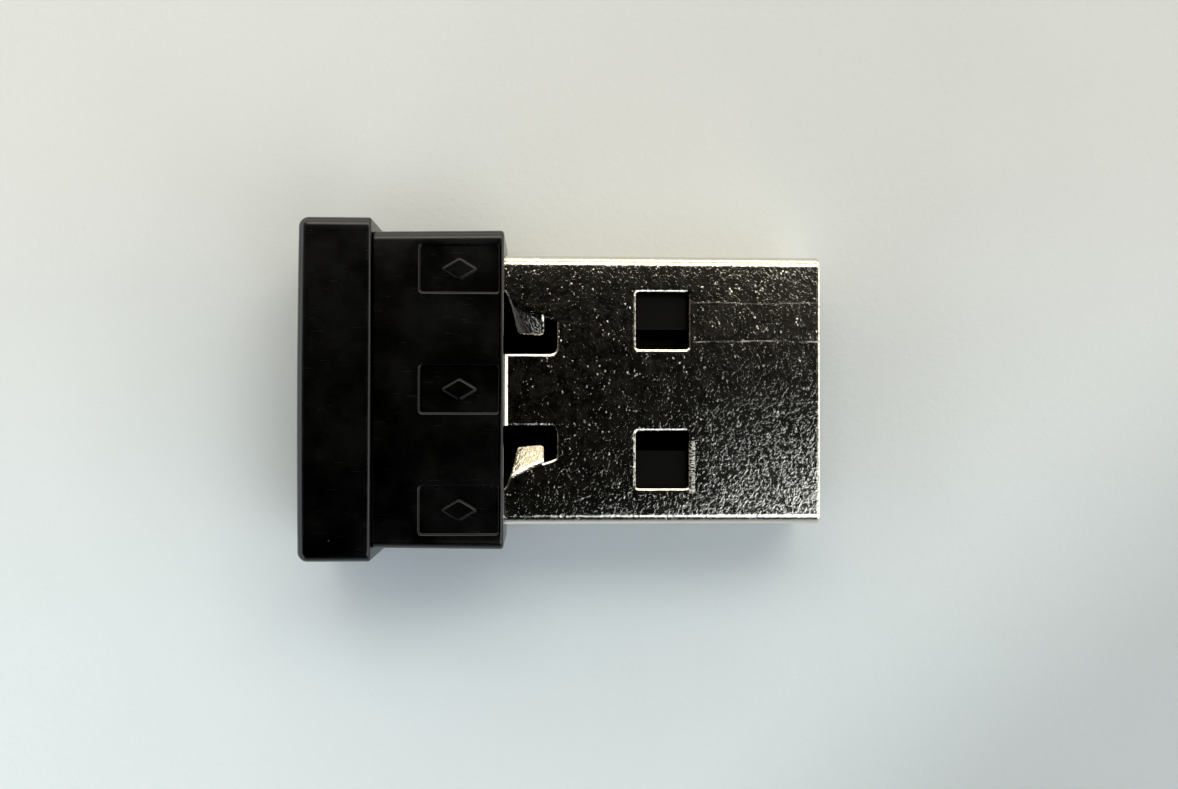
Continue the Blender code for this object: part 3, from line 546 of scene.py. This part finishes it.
def add_panel(shape, index, top_z):
    """Sink one panel into the collar's top, and return its rim."""
    centre_x = COLLAR_FRONT_X - PANEL_LIP - PANEL_LENGTH / 2
    centre_y = PANEL_PITCH * (index - 1)
    floor_z = top_z - PANEL_DEPTH
    edge = [(PANEL_EDGE + HOLD / 2, top_z)]
    edge += [(inset, top_z - depth) for inset, depth in quarter(PANEL_EDGE, steps=4)]
    foot = [(PANEL_DRAFT + depth, floor_z + inset) for inset, depth in quarter(PANEL_FOOT, steps=3)]
    foot.append((PANEL_DRAFT + PANEL_FOOT + PANEL_FLAT, floor_z))
    panel = rounded_rectangle(centre_x, centre_y, PANEL_LENGTH, PANEL_WIDTH, PANEL_CORNER)
    down = edge + [(-spare, z) for spare, z in foot]
    rings = add_levels(shape, lambda spare: offset_outline(panel, -spare), down)
    up = foot[::-1] + [(-spare, z) for spare, z in reversed(edge)]
    lozenge = add_levels(shape, lambda spare: lozenge_outline(centre_x, centre_y, spare), up)
    fill_between(shape, [lozenge[-1]])
    fill_between(shape, [rings[-1], lozenge[0]])
    return rings[0]


def build_collar(material):
    """Make the collar: mouth, front face, flared sides with three panels, and the rear spigot."""
    shape = bmesh.new()
    mouth = (MOUTH_HALF_WIDTH, MOUTH_HALF_HEIGHT, MOUTH_CORNER)
    cavity = (CAVITY_HALF_WIDTH, CAVITY_HALF_HEIGHT, CAVITY_CORNER)
    front = (COLLAR_HALF_WIDTH, COLLAR_HALF_HEIGHT, COLLAR_EDGE)
    rear = (COLLAR_HALF_WIDTH - COLLAR_FLARE, COLLAR_HALF_HEIGHT, COLLAR_EDGE)
    spigot = (SPIGOT_HALF_WIDTH, SPIGOT_HALF_HEIGHT, SPIGOT_CORNER)
    stop_x = SHELL_REAR_X - FIT
    sections = [section(SPIGOT_REAR_X, cavity), section(stop_x, cavity), section(stop_x, mouth)]
    sections.append(section(COLLAR_FRONT_X - MOUTH_LIP - COLLAR_HOLD, mouth))
    for inset, depth in reversed(quarter(MOUTH_LIP, steps=4)):
        sections.append(section(COLLAR_FRONT_X - depth, mouth, inset))
    sections.append(section(COLLAR_FRONT_X, mouth, MOUTH_LIP + COLLAR_HOLD))
    flat = COLLAR_FRONT_FILLET + COLLAR_HOLD
    sections.append(section(COLLAR_FRONT_X, front, -flat))
    sections += fillet_sections(COLLAR_FRONT_X, -1, front, COLLAR_FRONT_FILLET, steps=6)
    sections.append(section(COLLAR_FRONT_X - flat, front))
    top_start = len(sections) - 1
    sections.append(section(CAP_FRONT_X + COLLAR_REAR_FILLET + COLLAR_HOLD, rear))
    sections += reversed(fillet_sections(CAP_FRONT_X, 1, rear, COLLAR_REAR_FILLET, steps=3))
    sections.append(section(CAP_FRONT_X, spigot))
    sections += reversed(fillet_sections(SPIGOT_REAR_X, 1, spigot, SPIGOT_REAR_FILLET, steps=3))
    rings = loft(shape, sections, closed=True, open_after=top_start)
    front_ring, rear_ring = rings[top_start], rings[top_start + 1]
    rim = [front_ring[-1], front_ring[0], rear_ring[0], rear_ring[-1]]
    top_z = MIDDLE_Z + COLLAR_HALF_HEIGHT
    panels = [add_panel(shape, index, top_z) for index in range(PANEL_COUNT)]
    fill_between(shape, [rim] + panels)
    finish_piece("collar_moulding", shape, material, "collar_housing", HOUSING_SHARP_ANGLE)


# ---------------------------------------------------------------------------- materials

class Surface:
    """A material's node tree, with short ways to add nodes and to join them."""

    def __init__(self, name):
        self.material = bpy.data.materials.new(name)
        self.material.use_nodes = True
        self.tree = self.material.node_tree
        self.shader = self.tree.nodes["Principled BSDF"]
        self.place = self.node("ShaderNodeTexCoord").outputs["Object"]

    def node(self, kind, inputs=None, **settings):
        """Add a node with its settings, and feed its inputs."""
        made = self.tree.nodes.new(kind)
        for name, value in settings.items():
            setattr(made, name, value)
        for name, value in (inputs or {}).items():
            self.feed(made.inputs[name], value)
        return made

    def feed(self, socket, value):
        """Link a node's output to a socket, or set the socket to a plain value."""
        if isinstance(value, bpy.types.NodeSocket):
            self.tree.links.new(value, socket)
        else:
            socket.default_value = value

    def set(self, **values):
        """Feed the shader's inputs, named with underscores for spaces."""
        for name, value in values.items():
            self.feed(self.shader.inputs[name.replace("_", " ")], value)

    def math(self, operation, first, second=0.0):
        """Work out a number from one or two others."""
        return self.node("ShaderNodeMath", {0: first, 1: second}, operation=operation).outputs[0]

    def product(self, *factors):
        """Multiply two or more numbers."""
        result = factors[0]
        for factor in factors[1:]:
            result = self.math("MULTIPLY", result, factor)
        return result

    def stretch(self, scale, turn=0.0):
        """Return the place turned by some degrees about Z, then scaled."""
        rotation = (0.0, 0.0, math.radians(turn))
        inputs = {"Vector": self.place, "Rotation": rotation, "Scale": scale}
        return self.node("ShaderNodeMapping", inputs).outputs["Vector"]

    def noise(self, size, vector=None, detail=2.0, roughness=0.5):
        """Return noise whose lumps are about a given size across, in metres."""
        inputs = {"Vector": vector or self.place, "Scale": 1.0 / size}
        inputs.update({"Detail": detail, "Roughness": roughness})
        return self.node("ShaderNodeTexNoise", inputs).outputs["Fac"]

    def cells(self, size, vector=None):
        """Return the distance to the nearest cell's middle, and a number from 0 to 1 for that cell."""
        inputs = {"Vector": vector or self.place, "Scale": 1.0 / size}
        made = self.node("ShaderNodeTexVoronoi", inputs)
        return made.outputs["Distance"], self.axis("X", made.outputs["Color"])

    def warp(self, vector, size, reach):
        """Shake a place about by up to half a reach, in lumps of a given size."""
        lumps = self.node("ShaderNodeTexNoise", {"Vector": vector, "Scale": 1.0 / size}).outputs["Color"]
        shaken = self.node("ShaderNodeVectorMath", {0: lumps, 3: reach}, operation="SCALE").outputs[0]
        return self.node("ShaderNodeVectorMath", {0: vector, 1: shaken}, operation="ADD").outputs[0]

    def ramp(self, value, low, high, start=0.0, end=1.0):
        """Stretch the range low..high of a value to start..end, with soft ends."""
        inputs = {"Value": value, "From Min": low, "From Max": high, "To Min": start, "To Max": end}
        return self.node("ShaderNodeMapRange", inputs, interpolation_type="SMOOTHSTEP").outputs["Result"]

    def mix(self, share, first, second):
        """Mix two colours, which are triples or sockets."""
        made = self.node("ShaderNodeMix", data_type="RGBA")
        self.feed(made.inputs[0], share)
        for socket, colour in ((made.inputs[6], first), (made.inputs[7], second)):
            self.feed(socket, colour if isinstance(colour, bpy.types.NodeSocket) else (*colour, 1.0))
        return made.outputs[2]

    def axis(self, name, place=None):
        """Return one coordinate of a place, in metres."""
        return self.node("ShaderNodeSeparateXYZ", {"Vector": place or self.place}).outputs[name]

    def band(self, value, low, high, soft):
        """Return 1 where a value lies between two limits, with soft ends."""
        return self.product(self.ramp(value, low - soft, low), self.ramp(value, high, high + soft, 1.0, 0.0))

    def bump(self, height, depth, below=None):
        """Raise the surface by a height of 0 to 1 times a depth in metres, over another bump if given."""
        inputs = {"Height": height, "Distance": depth, "Strength": 1.0}
        if below is not None:
            inputs["Normal"] = below
        return self.node("ShaderNodeBump", inputs).outputs["Normal"]


# The tracks that a socket's springs have rubbed along the plug: place across it, width and strength.
TRACKS = ((4.0 * MM, 0.02 * MM, 0.65), (2.28 * MM, 0.04 * MM, 1.0))
TRACK_SOFTNESS = 0.035 * MM


def nickel():
    """Nickel plate over stamped steel: fine orange peel, pits, and the tracks that sockets leave."""
    surface = Surface("nickel_plate")
    window_front = WINDOW_X + WINDOW_LENGTH / 2
    # Orange peel, in flat-topped lumps that lie aslant.
    slant = surface.stretch((1.0, 0.8, 1.0), turn=-35.0)
    peel = surface.ramp(surface.noise(0.135 * MM, slant, 3.0, 0.6), 0.45, 0.7)
    # Ragged pits, in loose groups.
    distance, chance = surface.cells(0.11 * MM, surface.warp(slant, 0.07 * MM, 0.11 * MM))
    groups = surface.ramp(surface.noise(0.7 * MM), 0.35, 0.65)
    pit_depth = surface.product(surface.ramp(chance, 0.6, 1.0), groups)
    pits = surface.product(surface.ramp(distance, 0.0, 0.5, 1.0, 0.0), pit_depth)
    # Dull tracks from the windows to the tip, wandering a little and broken here and there.
    x = surface.axis("X")
    wander = surface.product(surface.noise(1.6 * MM, detail=3.0), 0.2 * MM)
    y = surface.math("ADD", surface.axis("Y"), wander)
    tracks = 0.0
    for place, width, strength in TRACKS:
        track = surface.band(y, place - width / 2, place + width / 2, TRACK_SOFTNESS)
        tracks = surface.math("MAXIMUM", surface.product(track, strength), tracks)
    broken = surface.ramp(surface.noise(0.6 * MM, surface.stretch((0.35, 1.0, 1.0)), 3.0), 0.3, 0.62)
    ahead = surface.ramp(x, window_front - 0.1 * MM, window_front + 0.4 * MM)
    tracks = surface.product(tracks, broken, ahead)
    # A scuff in front of the near window.
    scuff_x = surface.band(x, window_front, window_front + 0.22 * MM, 0.1 * MM)
    scuff_low, scuff_high = -WINDOW_OFFSET - WINDOW_WIDTH / 2, -WINDOW_OFFSET + WINDOW_WIDTH / 3
    scuff_y = surface.band(y, scuff_low, scuff_high, 0.2 * MM)
    streaks = surface.ramp(surface.noise(0.05 * MM, surface.stretch((0.2, 1.0, 1.0))), 0.45, 0.6)
    scuff = surface.product(scuff_x, scuff_y, streaks)
    tint = surface.mix(surface.noise(1.6 * MM), (0.77, 0.73, 0.645), (0.83, 0.79, 0.71))
    rough = surface.ramp(surface.noise(0.4 * MM, None, 3.0, 0.6), 0.3, 0.7, 0.1, 0.14)
    worn = surface.math("MAXIMUM", tracks, scuff)
    rough = surface.math("ADD", rough, surface.product(worn, 0.2))
    normal = surface.bump(peel, 0.0036 * MM)
    normal = surface.bump(pits, 0.0085 * MM, normal)
    normal = surface.bump(scuff, 0.003 * MM, normal)
    surface.set(Base_Color=tint, Metallic=1.0, Roughness=rough, Normal=normal)
    return surface.material


def black_plastic():
    """Glossy black ABS with faint handling marks, hairline scratches and a few specks of dust."""
    surface = Surface("black_abs")
    skin = surface.noise(0.1 * MM)
    marks = surface.noise(2.0 * MM, None, 3.0, 0.6)
    hair = surface.noise(0.05 * MM, surface.stretch((0.04, 1.0, 1.0), turn=25.0), detail=1.0)
    scratch = surface.ramp(hair, 0.7, 0.76)
    distance, chance = surface.cells(1.1 * MM)
    dust = surface.product(surface.ramp(distance, 0.02, 0.04, 1.0, 0.0), surface.ramp(chance, 0.7, 0.72))
    colour = surface.mix(dust, (0.0032, 0.0032, 0.0034), (0.05, 0.048, 0.044))
    rough = surface.math("ADD", surface.ramp(marks, 0.3, 0.7, 0.2, 0.28), surface.product(scratch, 0.1))
    normal = surface.bump(skin, 0.0006 * MM)
    normal = surface.bump(scratch, 0.0004 * MM, normal)
    surface.set(Base_Color=colour, Roughness=rough, Normal=normal)
    return surface.material


def tongue_plastic():
    """Matt black glass-filled plastic, with the fine grain of its mould."""
    surface = Surface("tongue_plastic")
    grain = surface.noise(0.06 * MM, None, 3.0, 0.6)
    flow = surface.noise(1.5 * MM, surface.stretch((0.3, 1.0, 1.0)), 3.0)
    tint = surface.mix(flow, (0.0022, 0.0022, 0.0022), (0.0034, 0.0034, 0.0034))
    rough = surface.ramp(grain, 0.3, 0.7, 0.45, 0.6)
    surface.set(Base_Color=tint, Roughness=rough, Normal=surface.bump(grain, 0.0015 * MM))
    surface.set(Specular_IOR_Level=0.12)
    return surface.material


def gold_plate():
    """Gold over nickel, rolled along the strip and rubbed paler where a socket's springs slide."""
    surface = Surface("gold_plate")
    grain = surface.noise(0.05 * MM, surface.stretch((0.06, 1.0, 1.0)))
    rub = surface.noise(0.09 * MM, surface.stretch((0.03, 1.0, 1.0)), 2.0, 0.6)
    reach = surface.ramp(surface.axis("X"), TONGUE_TIP_X - 7.0 * MM, TONGUE_TIP_X - 4.0 * MM)
    worn = surface.product(surface.ramp(rub, 0.5, 0.62), reach)
    gold = surface.mix(surface.noise(0.8 * MM), (0.93, 0.66, 0.27), (0.97, 0.73, 0.36))
    colour = surface.mix(worn, gold, (0.85, 0.74, 0.55))
    rough = surface.ramp(grain, 0.3, 0.7, 0.16, 0.3)
    surface.set(Base_Color=colour, Metallic=1.0, Roughness=rough, Normal=surface.bump(grain, 0.0012 * MM))
    return surface.material


def board_laminate():
    """Glass-fibre board: bare edges, and green solder mask over raised copper tracks."""
    surface = Surface("board_laminate")
    lines = {"Scale": 1.0, "Mortar Size": 0.045 * MM, "Mortar Smooth": 0.3}
    lines.update({"Vector": surface.place, "Brick Width": 1.9 * MM, "Row Height": 0.42 * MM})
    tracks = surface.node("ShaderNodeTexBrick", lines).outputs["Fac"]
    patch = surface.ramp(surface.noise(2.2 * MM, detail=1.0), 0.47, 0.5)
    copper = surface.math("MAXIMUM", tracks, surface.product(patch, 0.8))
    mask = surface.mix(copper, (0.005, 0.085, 0.03), (0.014, 0.17, 0.065))
    fibres = {"Vector": surface.place, "Scale": 1.0 / (0.5 * MM), "Distortion": 1.5}
    weave = surface.node("ShaderNodeTexWave", fibres).outputs["Fac"]
    bare = surface.mix(weave, (0.35, 0.30, 0.17), (0.5, 0.45, 0.28))
    edge = surface.band(surface.axis("Z"), BOARD_LOW.z + 0.02 * MM, BOARD_HIGH.z - 0.02 * MM, 0.004 * MM)
    rough = surface.ramp(surface.noise(0.3 * MM, detail=3.0), 0.3, 0.7, 0.25, 0.42)
    normal = surface.bump(copper, 0.012 * MM)
    surface.set(Base_Color=surface.mix(edge, mask, bare), Roughness=rough, Normal=normal)
    return surface.material


def clear_plastic():
    """Slightly milky clear plastic, with faint flow lines along the rod."""
    surface = Surface("clear_plastic")
    flow = surface.noise(0.12 * MM, surface.stretch((0.2, 1.0, 1.0)))
    tint = surface.mix(flow, (0.78, 0.82, 0.84), (0.88, 0.9, 0.9))
    rough = surface.ramp(surface.noise(0.08 * MM), 0.3, 0.7, 0.08, 0.2)
    surface.set(Base_Color=tint, Roughness=rough, Normal=surface.bump(flow, 0.0015 * MM))
    surface.set(Transmission_Weight=0.75, IOR=1.49)
    return surface.material


def chip_epoxy():
    """Moulded black epoxy with a fine spark-eroded grain."""
    surface = Surface("chip_epoxy")
    grain = surface.noise(0.03 * MM, None, 3.0, 0.7)
    haze = surface.noise(0.7 * MM, detail=3.0)
    tint = surface.mix(haze, (0.014, 0.014, 0.015), (0.028, 0.028, 0.029))
    rough = surface.ramp(grain, 0.3, 0.7, 0.5, 0.72)
    surface.set(Base_Color=tint, Roughness=rough, Normal=surface.bump(grain, 0.003 * MM))
    return surface.material


def can_metal():
    """A plated lid with a fine rolled grain and faint stains."""
    surface = Surface("can_metal")
    grain = surface.noise(0.04 * MM, surface.stretch((0.05, 1.0, 1.0)))
    stain = surface.noise(0.9 * MM, detail=3.0)
    tint = surface.mix(stain, (0.66, 0.64, 0.59), (0.78, 0.76, 0.71))
    rough = surface.ramp(grain, 0.3, 0.7, 0.22, 0.38)
    surface.set(Base_Color=tint, Metallic=1.0, Roughness=rough, Normal=surface.bump(grain, 0.001 * MM))
    return surface.material


def tinned_ceramic(name, colour, axis):
    """Fired ceramic with a tinned cap at each end; the axis is the one that the caps face along."""
    surface = Surface(name)
    box_place = surface.node("ShaderNodeTexCoord").outputs["Generated"]
    along = surface.math("ABSOLUTE", surface.math("SUBTRACT", surface.axis(axis, box_place), 0.5))
    ragged = surface.product(surface.noise(0.12 * MM), 0.05)
    cap = surface.ramp(surface.math("ADD", along, ragged), 0.3, 0.32)
    grain = surface.noise(0.04 * MM, None, 3.0, 0.6)
    darker = tuple(value * 0.78 for value in colour)
    body = surface.mix(surface.noise(0.25 * MM, detail=3.0), darker, colour)
    tin = surface.mix(grain, (0.62, 0.62, 0.60), (0.76, 0.76, 0.74))
    rough = surface.ramp(grain, 0.3, 0.7, 0.3, 0.5)
    normal = surface.bump(grain, 0.002 * MM)
    normal = surface.bump(cap, 0.012 * MM, normal)
    surface.set(Base_Color=surface.mix(cap, body, tin), Metallic=cap, Roughness=rough, Normal=normal)
    return surface.material


def ferrite():
    """Sintered grey ferrite, pitted all over."""
    surface = Surface("ferrite")
    distance, _ = surface.cells(0.09 * MM)
    pits = surface.ramp(distance, 0.1, 0.5)
    tint = surface.mix(surface.noise(0.4 * MM, detail=3.0), (0.07, 0.068, 0.068), (0.14, 0.135, 0.135))
    rough = surface.ramp(pits, 0.0, 1.0, 0.75, 0.5)
    surface.set(Base_Color=tint, Roughness=rough, Normal=surface.bump(pits, 0.004 * MM))
    return surface.material


def paper():
    """White paper with painted light and shade: bluer on the near side from a painted cool cast, and darker
    to the right and in the near right corner from painted shade.
    """
    surface = Surface("paper")
    fibre = surface.noise(0.45 * MM, None, 4.0, 0.65)
    cloud = surface.ramp(surface.noise(7.0 * MM, detail=3.0), 0.3, 0.7, 0.985, 1.0)
    x = surface.axis("X")
    y = surface.axis("Y")
    # Painted shade: the near right corner of the paper is darkened.
    painted_corner_shade = surface.ramp(surface.math("SUBTRACT", x, y), 32 * MM, 52 * MM, 1.0, 0.72)
    # Painted light: a painted cool cast makes the near side bluer, and the far side greyer and warmer.
    tint = surface.mix(surface.ramp(y, -16 * MM, 16 * MM), (0.81, 0.895, 0.955), (0.78, 0.80, 0.80))
    # Painted shade: the paper is darkened towards the right. The faint random cloud is the paper's own tone.
    painted_shade_and_cloud = surface.product(surface.ramp(x, -30 * MM, 30 * MM, 1.0, 0.8), painted_corner_shade, cloud)
    shade = surface.node("ShaderNodeCombineXYZ", {"X": painted_shade_and_cloud, "Y": painted_shade_and_cloud, "Z": painted_shade_and_cloud}).outputs[0]
    colour = surface.node("ShaderNodeVectorMath", {0: tint, 1: shade}, operation="MULTIPLY").outputs[0]
    surface.set(Base_Color=colour, Roughness=0.9, Normal=surface.bump(fibre, 0.02 * MM))
    return surface.material


NICKEL = nickel()
BLACK = black_plastic()

# The finish of each of the record's material slots on the nodes that keep their CAD shape.
NODE_FINISHES = {
    "insulator_plastic": tongue_plastic(),
    "gold_contact": gold_plate(),
    "board_laminate": board_laminate(),
    "light_pipe_clear": clear_plastic(),
    "chip_black": chip_epoxy(),
    "can_metal": can_metal(),
    "ferrite": ferrite(),
}
CERAMIC_COLOURS = {
    "ceramic_tan": (0.40, 0.26, 0.15),
    "ceramic_blue": (0.22, 0.36, 0.52),
    "ceramic_white": (0.78, 0.77, 0.72),
    "resistor_black": (0.02, 0.02, 0.022),
}
CERAMIC_FINISHES = {
    (ceramic, axis): tinned_ceramic(f"{ceramic}_{axis.lower()}", colour, axis)
    for ceramic, colour in CERAMIC_COLOURS.items()
    for axis in ("X", "Y")
}
EDGE_SOFTNESS = {
    "usb_insulator": 0.05 * MM,
    "circuit_board": 0.03 * MM,
    "crystal": 0.12 * MM,
    "light_pipe": 0.04 * MM,
}
SMALL_PART_SOFTNESS = 0.025 * MM
SOFT_EDGE_ANGLE = math.radians(40.0)
REPLACED_NODES = ("usb_shell", "end_cap", "collar_housing")


def dress_node(name, node):
    """Give a part that keeps its CAD shape its finish and softened edges."""
    slot_name = node.data.materials[0].name
    if name.endswith("_resistor") or "_resistor_" in name:
        slot_name = "resistor_black"
    low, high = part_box(name)
    long_axis = "X" if high.x - low.x > high.y - low.y else "Y"
    node.data.materials[0] = NODE_FINISHES.get(slot_name) or CERAMIC_FINISHES[slot_name, long_axis]
    soften = node.modifiers.new("soft_edges", "BEVEL")
    soften.width = EDGE_SOFTNESS.get(name, SMALL_PART_SOFTNESS)
    soften.segments = 3
    soften.limit_method = "ANGLE"
    soften.angle_limit = SOFT_EDGE_ANGLE
    soften.use_clamp_overlap = True


build_shell(NICKEL)
build_cap(BLACK)
build_collar(BLACK)
for node_name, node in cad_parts.items():
    if node_name not in REPLACED_NODES:
        dress_node(node_name, node)


# ---------------------------------------------------------------------------- floor, light and camera

FLOOR_HALF_SIZE = 1.5

# The room's colour from the horizon (0) to the zenith (1), on the near and on the far side.
NEAR_SIDE = [
    (0.0, (0.50, 0.54, 0.60)),
    (0.25, (0.34, 0.37, 0.41)),
    (0.38, (0.06, 0.064, 0.07)),
    (0.55, (0.012, 0.012, 0.013)),
    (1.0, (0.003, 0.003, 0.003)),
]
FAR_SIDE = [
    (0.0, (2.2, 2.12, 1.92)),
    (0.4, (2.0, 1.9, 1.65)),
    (0.5, (0.95, 0.78, 0.46)),
    (0.66, (0.75, 0.64, 0.42)),
    (0.78, (0.36, 0.33, 0.26)),
    (0.90, (0.20, 0.19, 0.16)),
    (0.965, (0.04, 0.038, 0.035)),
    (1.0, (0.003, 0.003, 0.003)),
]
# Where the near side starts to turn into the far side, and where it is all far side, as the Y of a
# direction one unit long.
TURN_START = -0.05
TURN_END = 0.6

# Each light's name, azimuth, elevation, width, height, brightness and colour.
LIGHT_DISTANCE = 0.30
LIGHTS = (
    ("key", 78, 54, 0.34, 0.12, 3.4, (1.0, 0.98, 0.88)),
    ("window", -47, 57, 0.19, 0.13, 2.6, (0.90, 0.96, 1.0)),
    ("right", -20, 28, 0.40, 0.16, 2.1, (0.98, 0.96, 0.92)),
    ("left", 200, 20, 0.50, 0.18, 1.3, (0.86, 0.93, 1.0)),
)

CAMERA_PLACE = (-1.13 * MM, -0.92 * MM, 56.868 * MM)
CAMERA_TILT = (0.802, -2.567, 0.08)  # degrees about X, Y and Z, which sets it square to the tilted paper
SENSOR_WIDTH = 36.0
FOCAL_LENGTH = 35.23
CAMERA_REACH = 10.0
BLACK_LEVEL = 0.004                 # light below this level shows as full black


def build_floor():
    """Lay a sheet of paper under the end cap's front edge and the plug's tip, which it touches."""
    shape = bmesh.new()
    bmesh.ops.create_grid(shape, x_segments=1, y_segments=1, size=FLOOR_HALF_SIZE)
    mesh = bpy.data.meshes.new("paper_floor")
    shape.to_mesh(mesh)
    shape.free()
    floor = bpy.data.objects.new("paper_floor", mesh)
    bpy.context.scene.collection.objects.link(floor)
    floor.data.materials.append(paper())
    touch_x = CAP_FRONT_X - CAP_FRONT_FILLET
    slope = math.atan2(SHELL_LOW.z - CAP_LOW.z, TIP_X - touch_x)
    floor.location = (touch_x, 0.0, CAP_LOW.z)
    floor.rotation_euler = (0.0, -slope, 0.0)


def add_light(name, azimuth, elevation, width, height, radiance, colour):
    """Place a soft rectangular light that faces the object; the angles are in degrees."""
    data = bpy.data.lights.new(name, "AREA")
    data.shape = "RECTANGLE"
    data.size = width
    data.size_y = height
    data.energy = radiance * math.pi * width * height
    data.color = colour
    light = bpy.data.objects.new(name, data)
    bpy.context.scene.collection.objects.link(light)
    turn, rise = math.radians(azimuth), math.radians(elevation)
    level = math.cos(rise)
    direction = Vector((math.cos(turn) * level, math.sin(turn) * level, math.sin(rise)))
    light.location = direction * LIGHT_DISTANCE
    light.rotation_euler = direction.to_track_quat("Z", "Y").to_euler()


def build_world():
    """Surround the object with a room that is dark overhead and has a bright warm wall on the far side."""
    world = bpy.data.worlds.new("surroundings")
    bpy.context.scene.world = world
    world.use_nodes = True
    tree = world.node_tree
    place = tree.nodes.new("ShaderNodeTexCoord")
    split = tree.nodes.new("ShaderNodeSeparateXYZ")
    tree.links.new(place.outputs["Generated"], split.inputs[0])
    sides = []
    for stops in (NEAR_SIDE, FAR_SIDE):
        rise = tree.nodes.new("ShaderNodeValToRGB")
        tree.links.new(split.outputs["Z"], rise.inputs["Fac"])
        elements = rise.color_ramp.elements
        while len(elements) < len(stops):
            elements.new(0.5)
        for element, (height, colour) in zip(elements, stops):
            element.position = height
            element.color = (*colour, 1.0)
        sides.append(rise.outputs["Color"])
    turn = tree.nodes.new("ShaderNodeMapRange")
    turn.inputs["From Min"].default_value = TURN_START
    turn.inputs["From Max"].default_value = TURN_END
    tree.links.new(split.outputs["Y"], turn.inputs["Value"])
    mix = tree.nodes.new("ShaderNodeMix")
    mix.data_type = "RGBA"
    tree.links.new(turn.outputs["Result"], mix.inputs[0])
    tree.links.new(sides[0], mix.inputs[6])
    tree.links.new(sides[1], mix.inputs[7])
    tree.links.new(mix.outputs[2], tree.nodes["Background"].inputs["Color"])


def build_camera():
    """Look straight down on the paper from just above the object."""
    data = bpy.data.cameras.new("camera")
    data.sensor_width = SENSOR_WIDTH
    data.lens = FOCAL_LENGTH
    data.clip_start = MM
    data.clip_end = CAMERA_REACH
    camera = bpy.data.objects.new("camera", data)
    bpy.context.scene.collection.objects.link(camera)
    camera.location = CAMERA_PLACE
    camera.rotation_euler = Euler(tuple(math.radians(angle) for angle in CAMERA_TILT))
    bpy.context.scene.camera = camera


build_floor()
build_world()
for light_values in LIGHTS:
    add_light(*light_values)
build_camera()
view = bpy.context.scene.view_settings
view.view_transform = "Standard"
view.use_curve_mapping = True
view.curve_mapping.black_level = (BLACK_LEVEL, BLACK_LEVEL, BLACK_LEVEL)
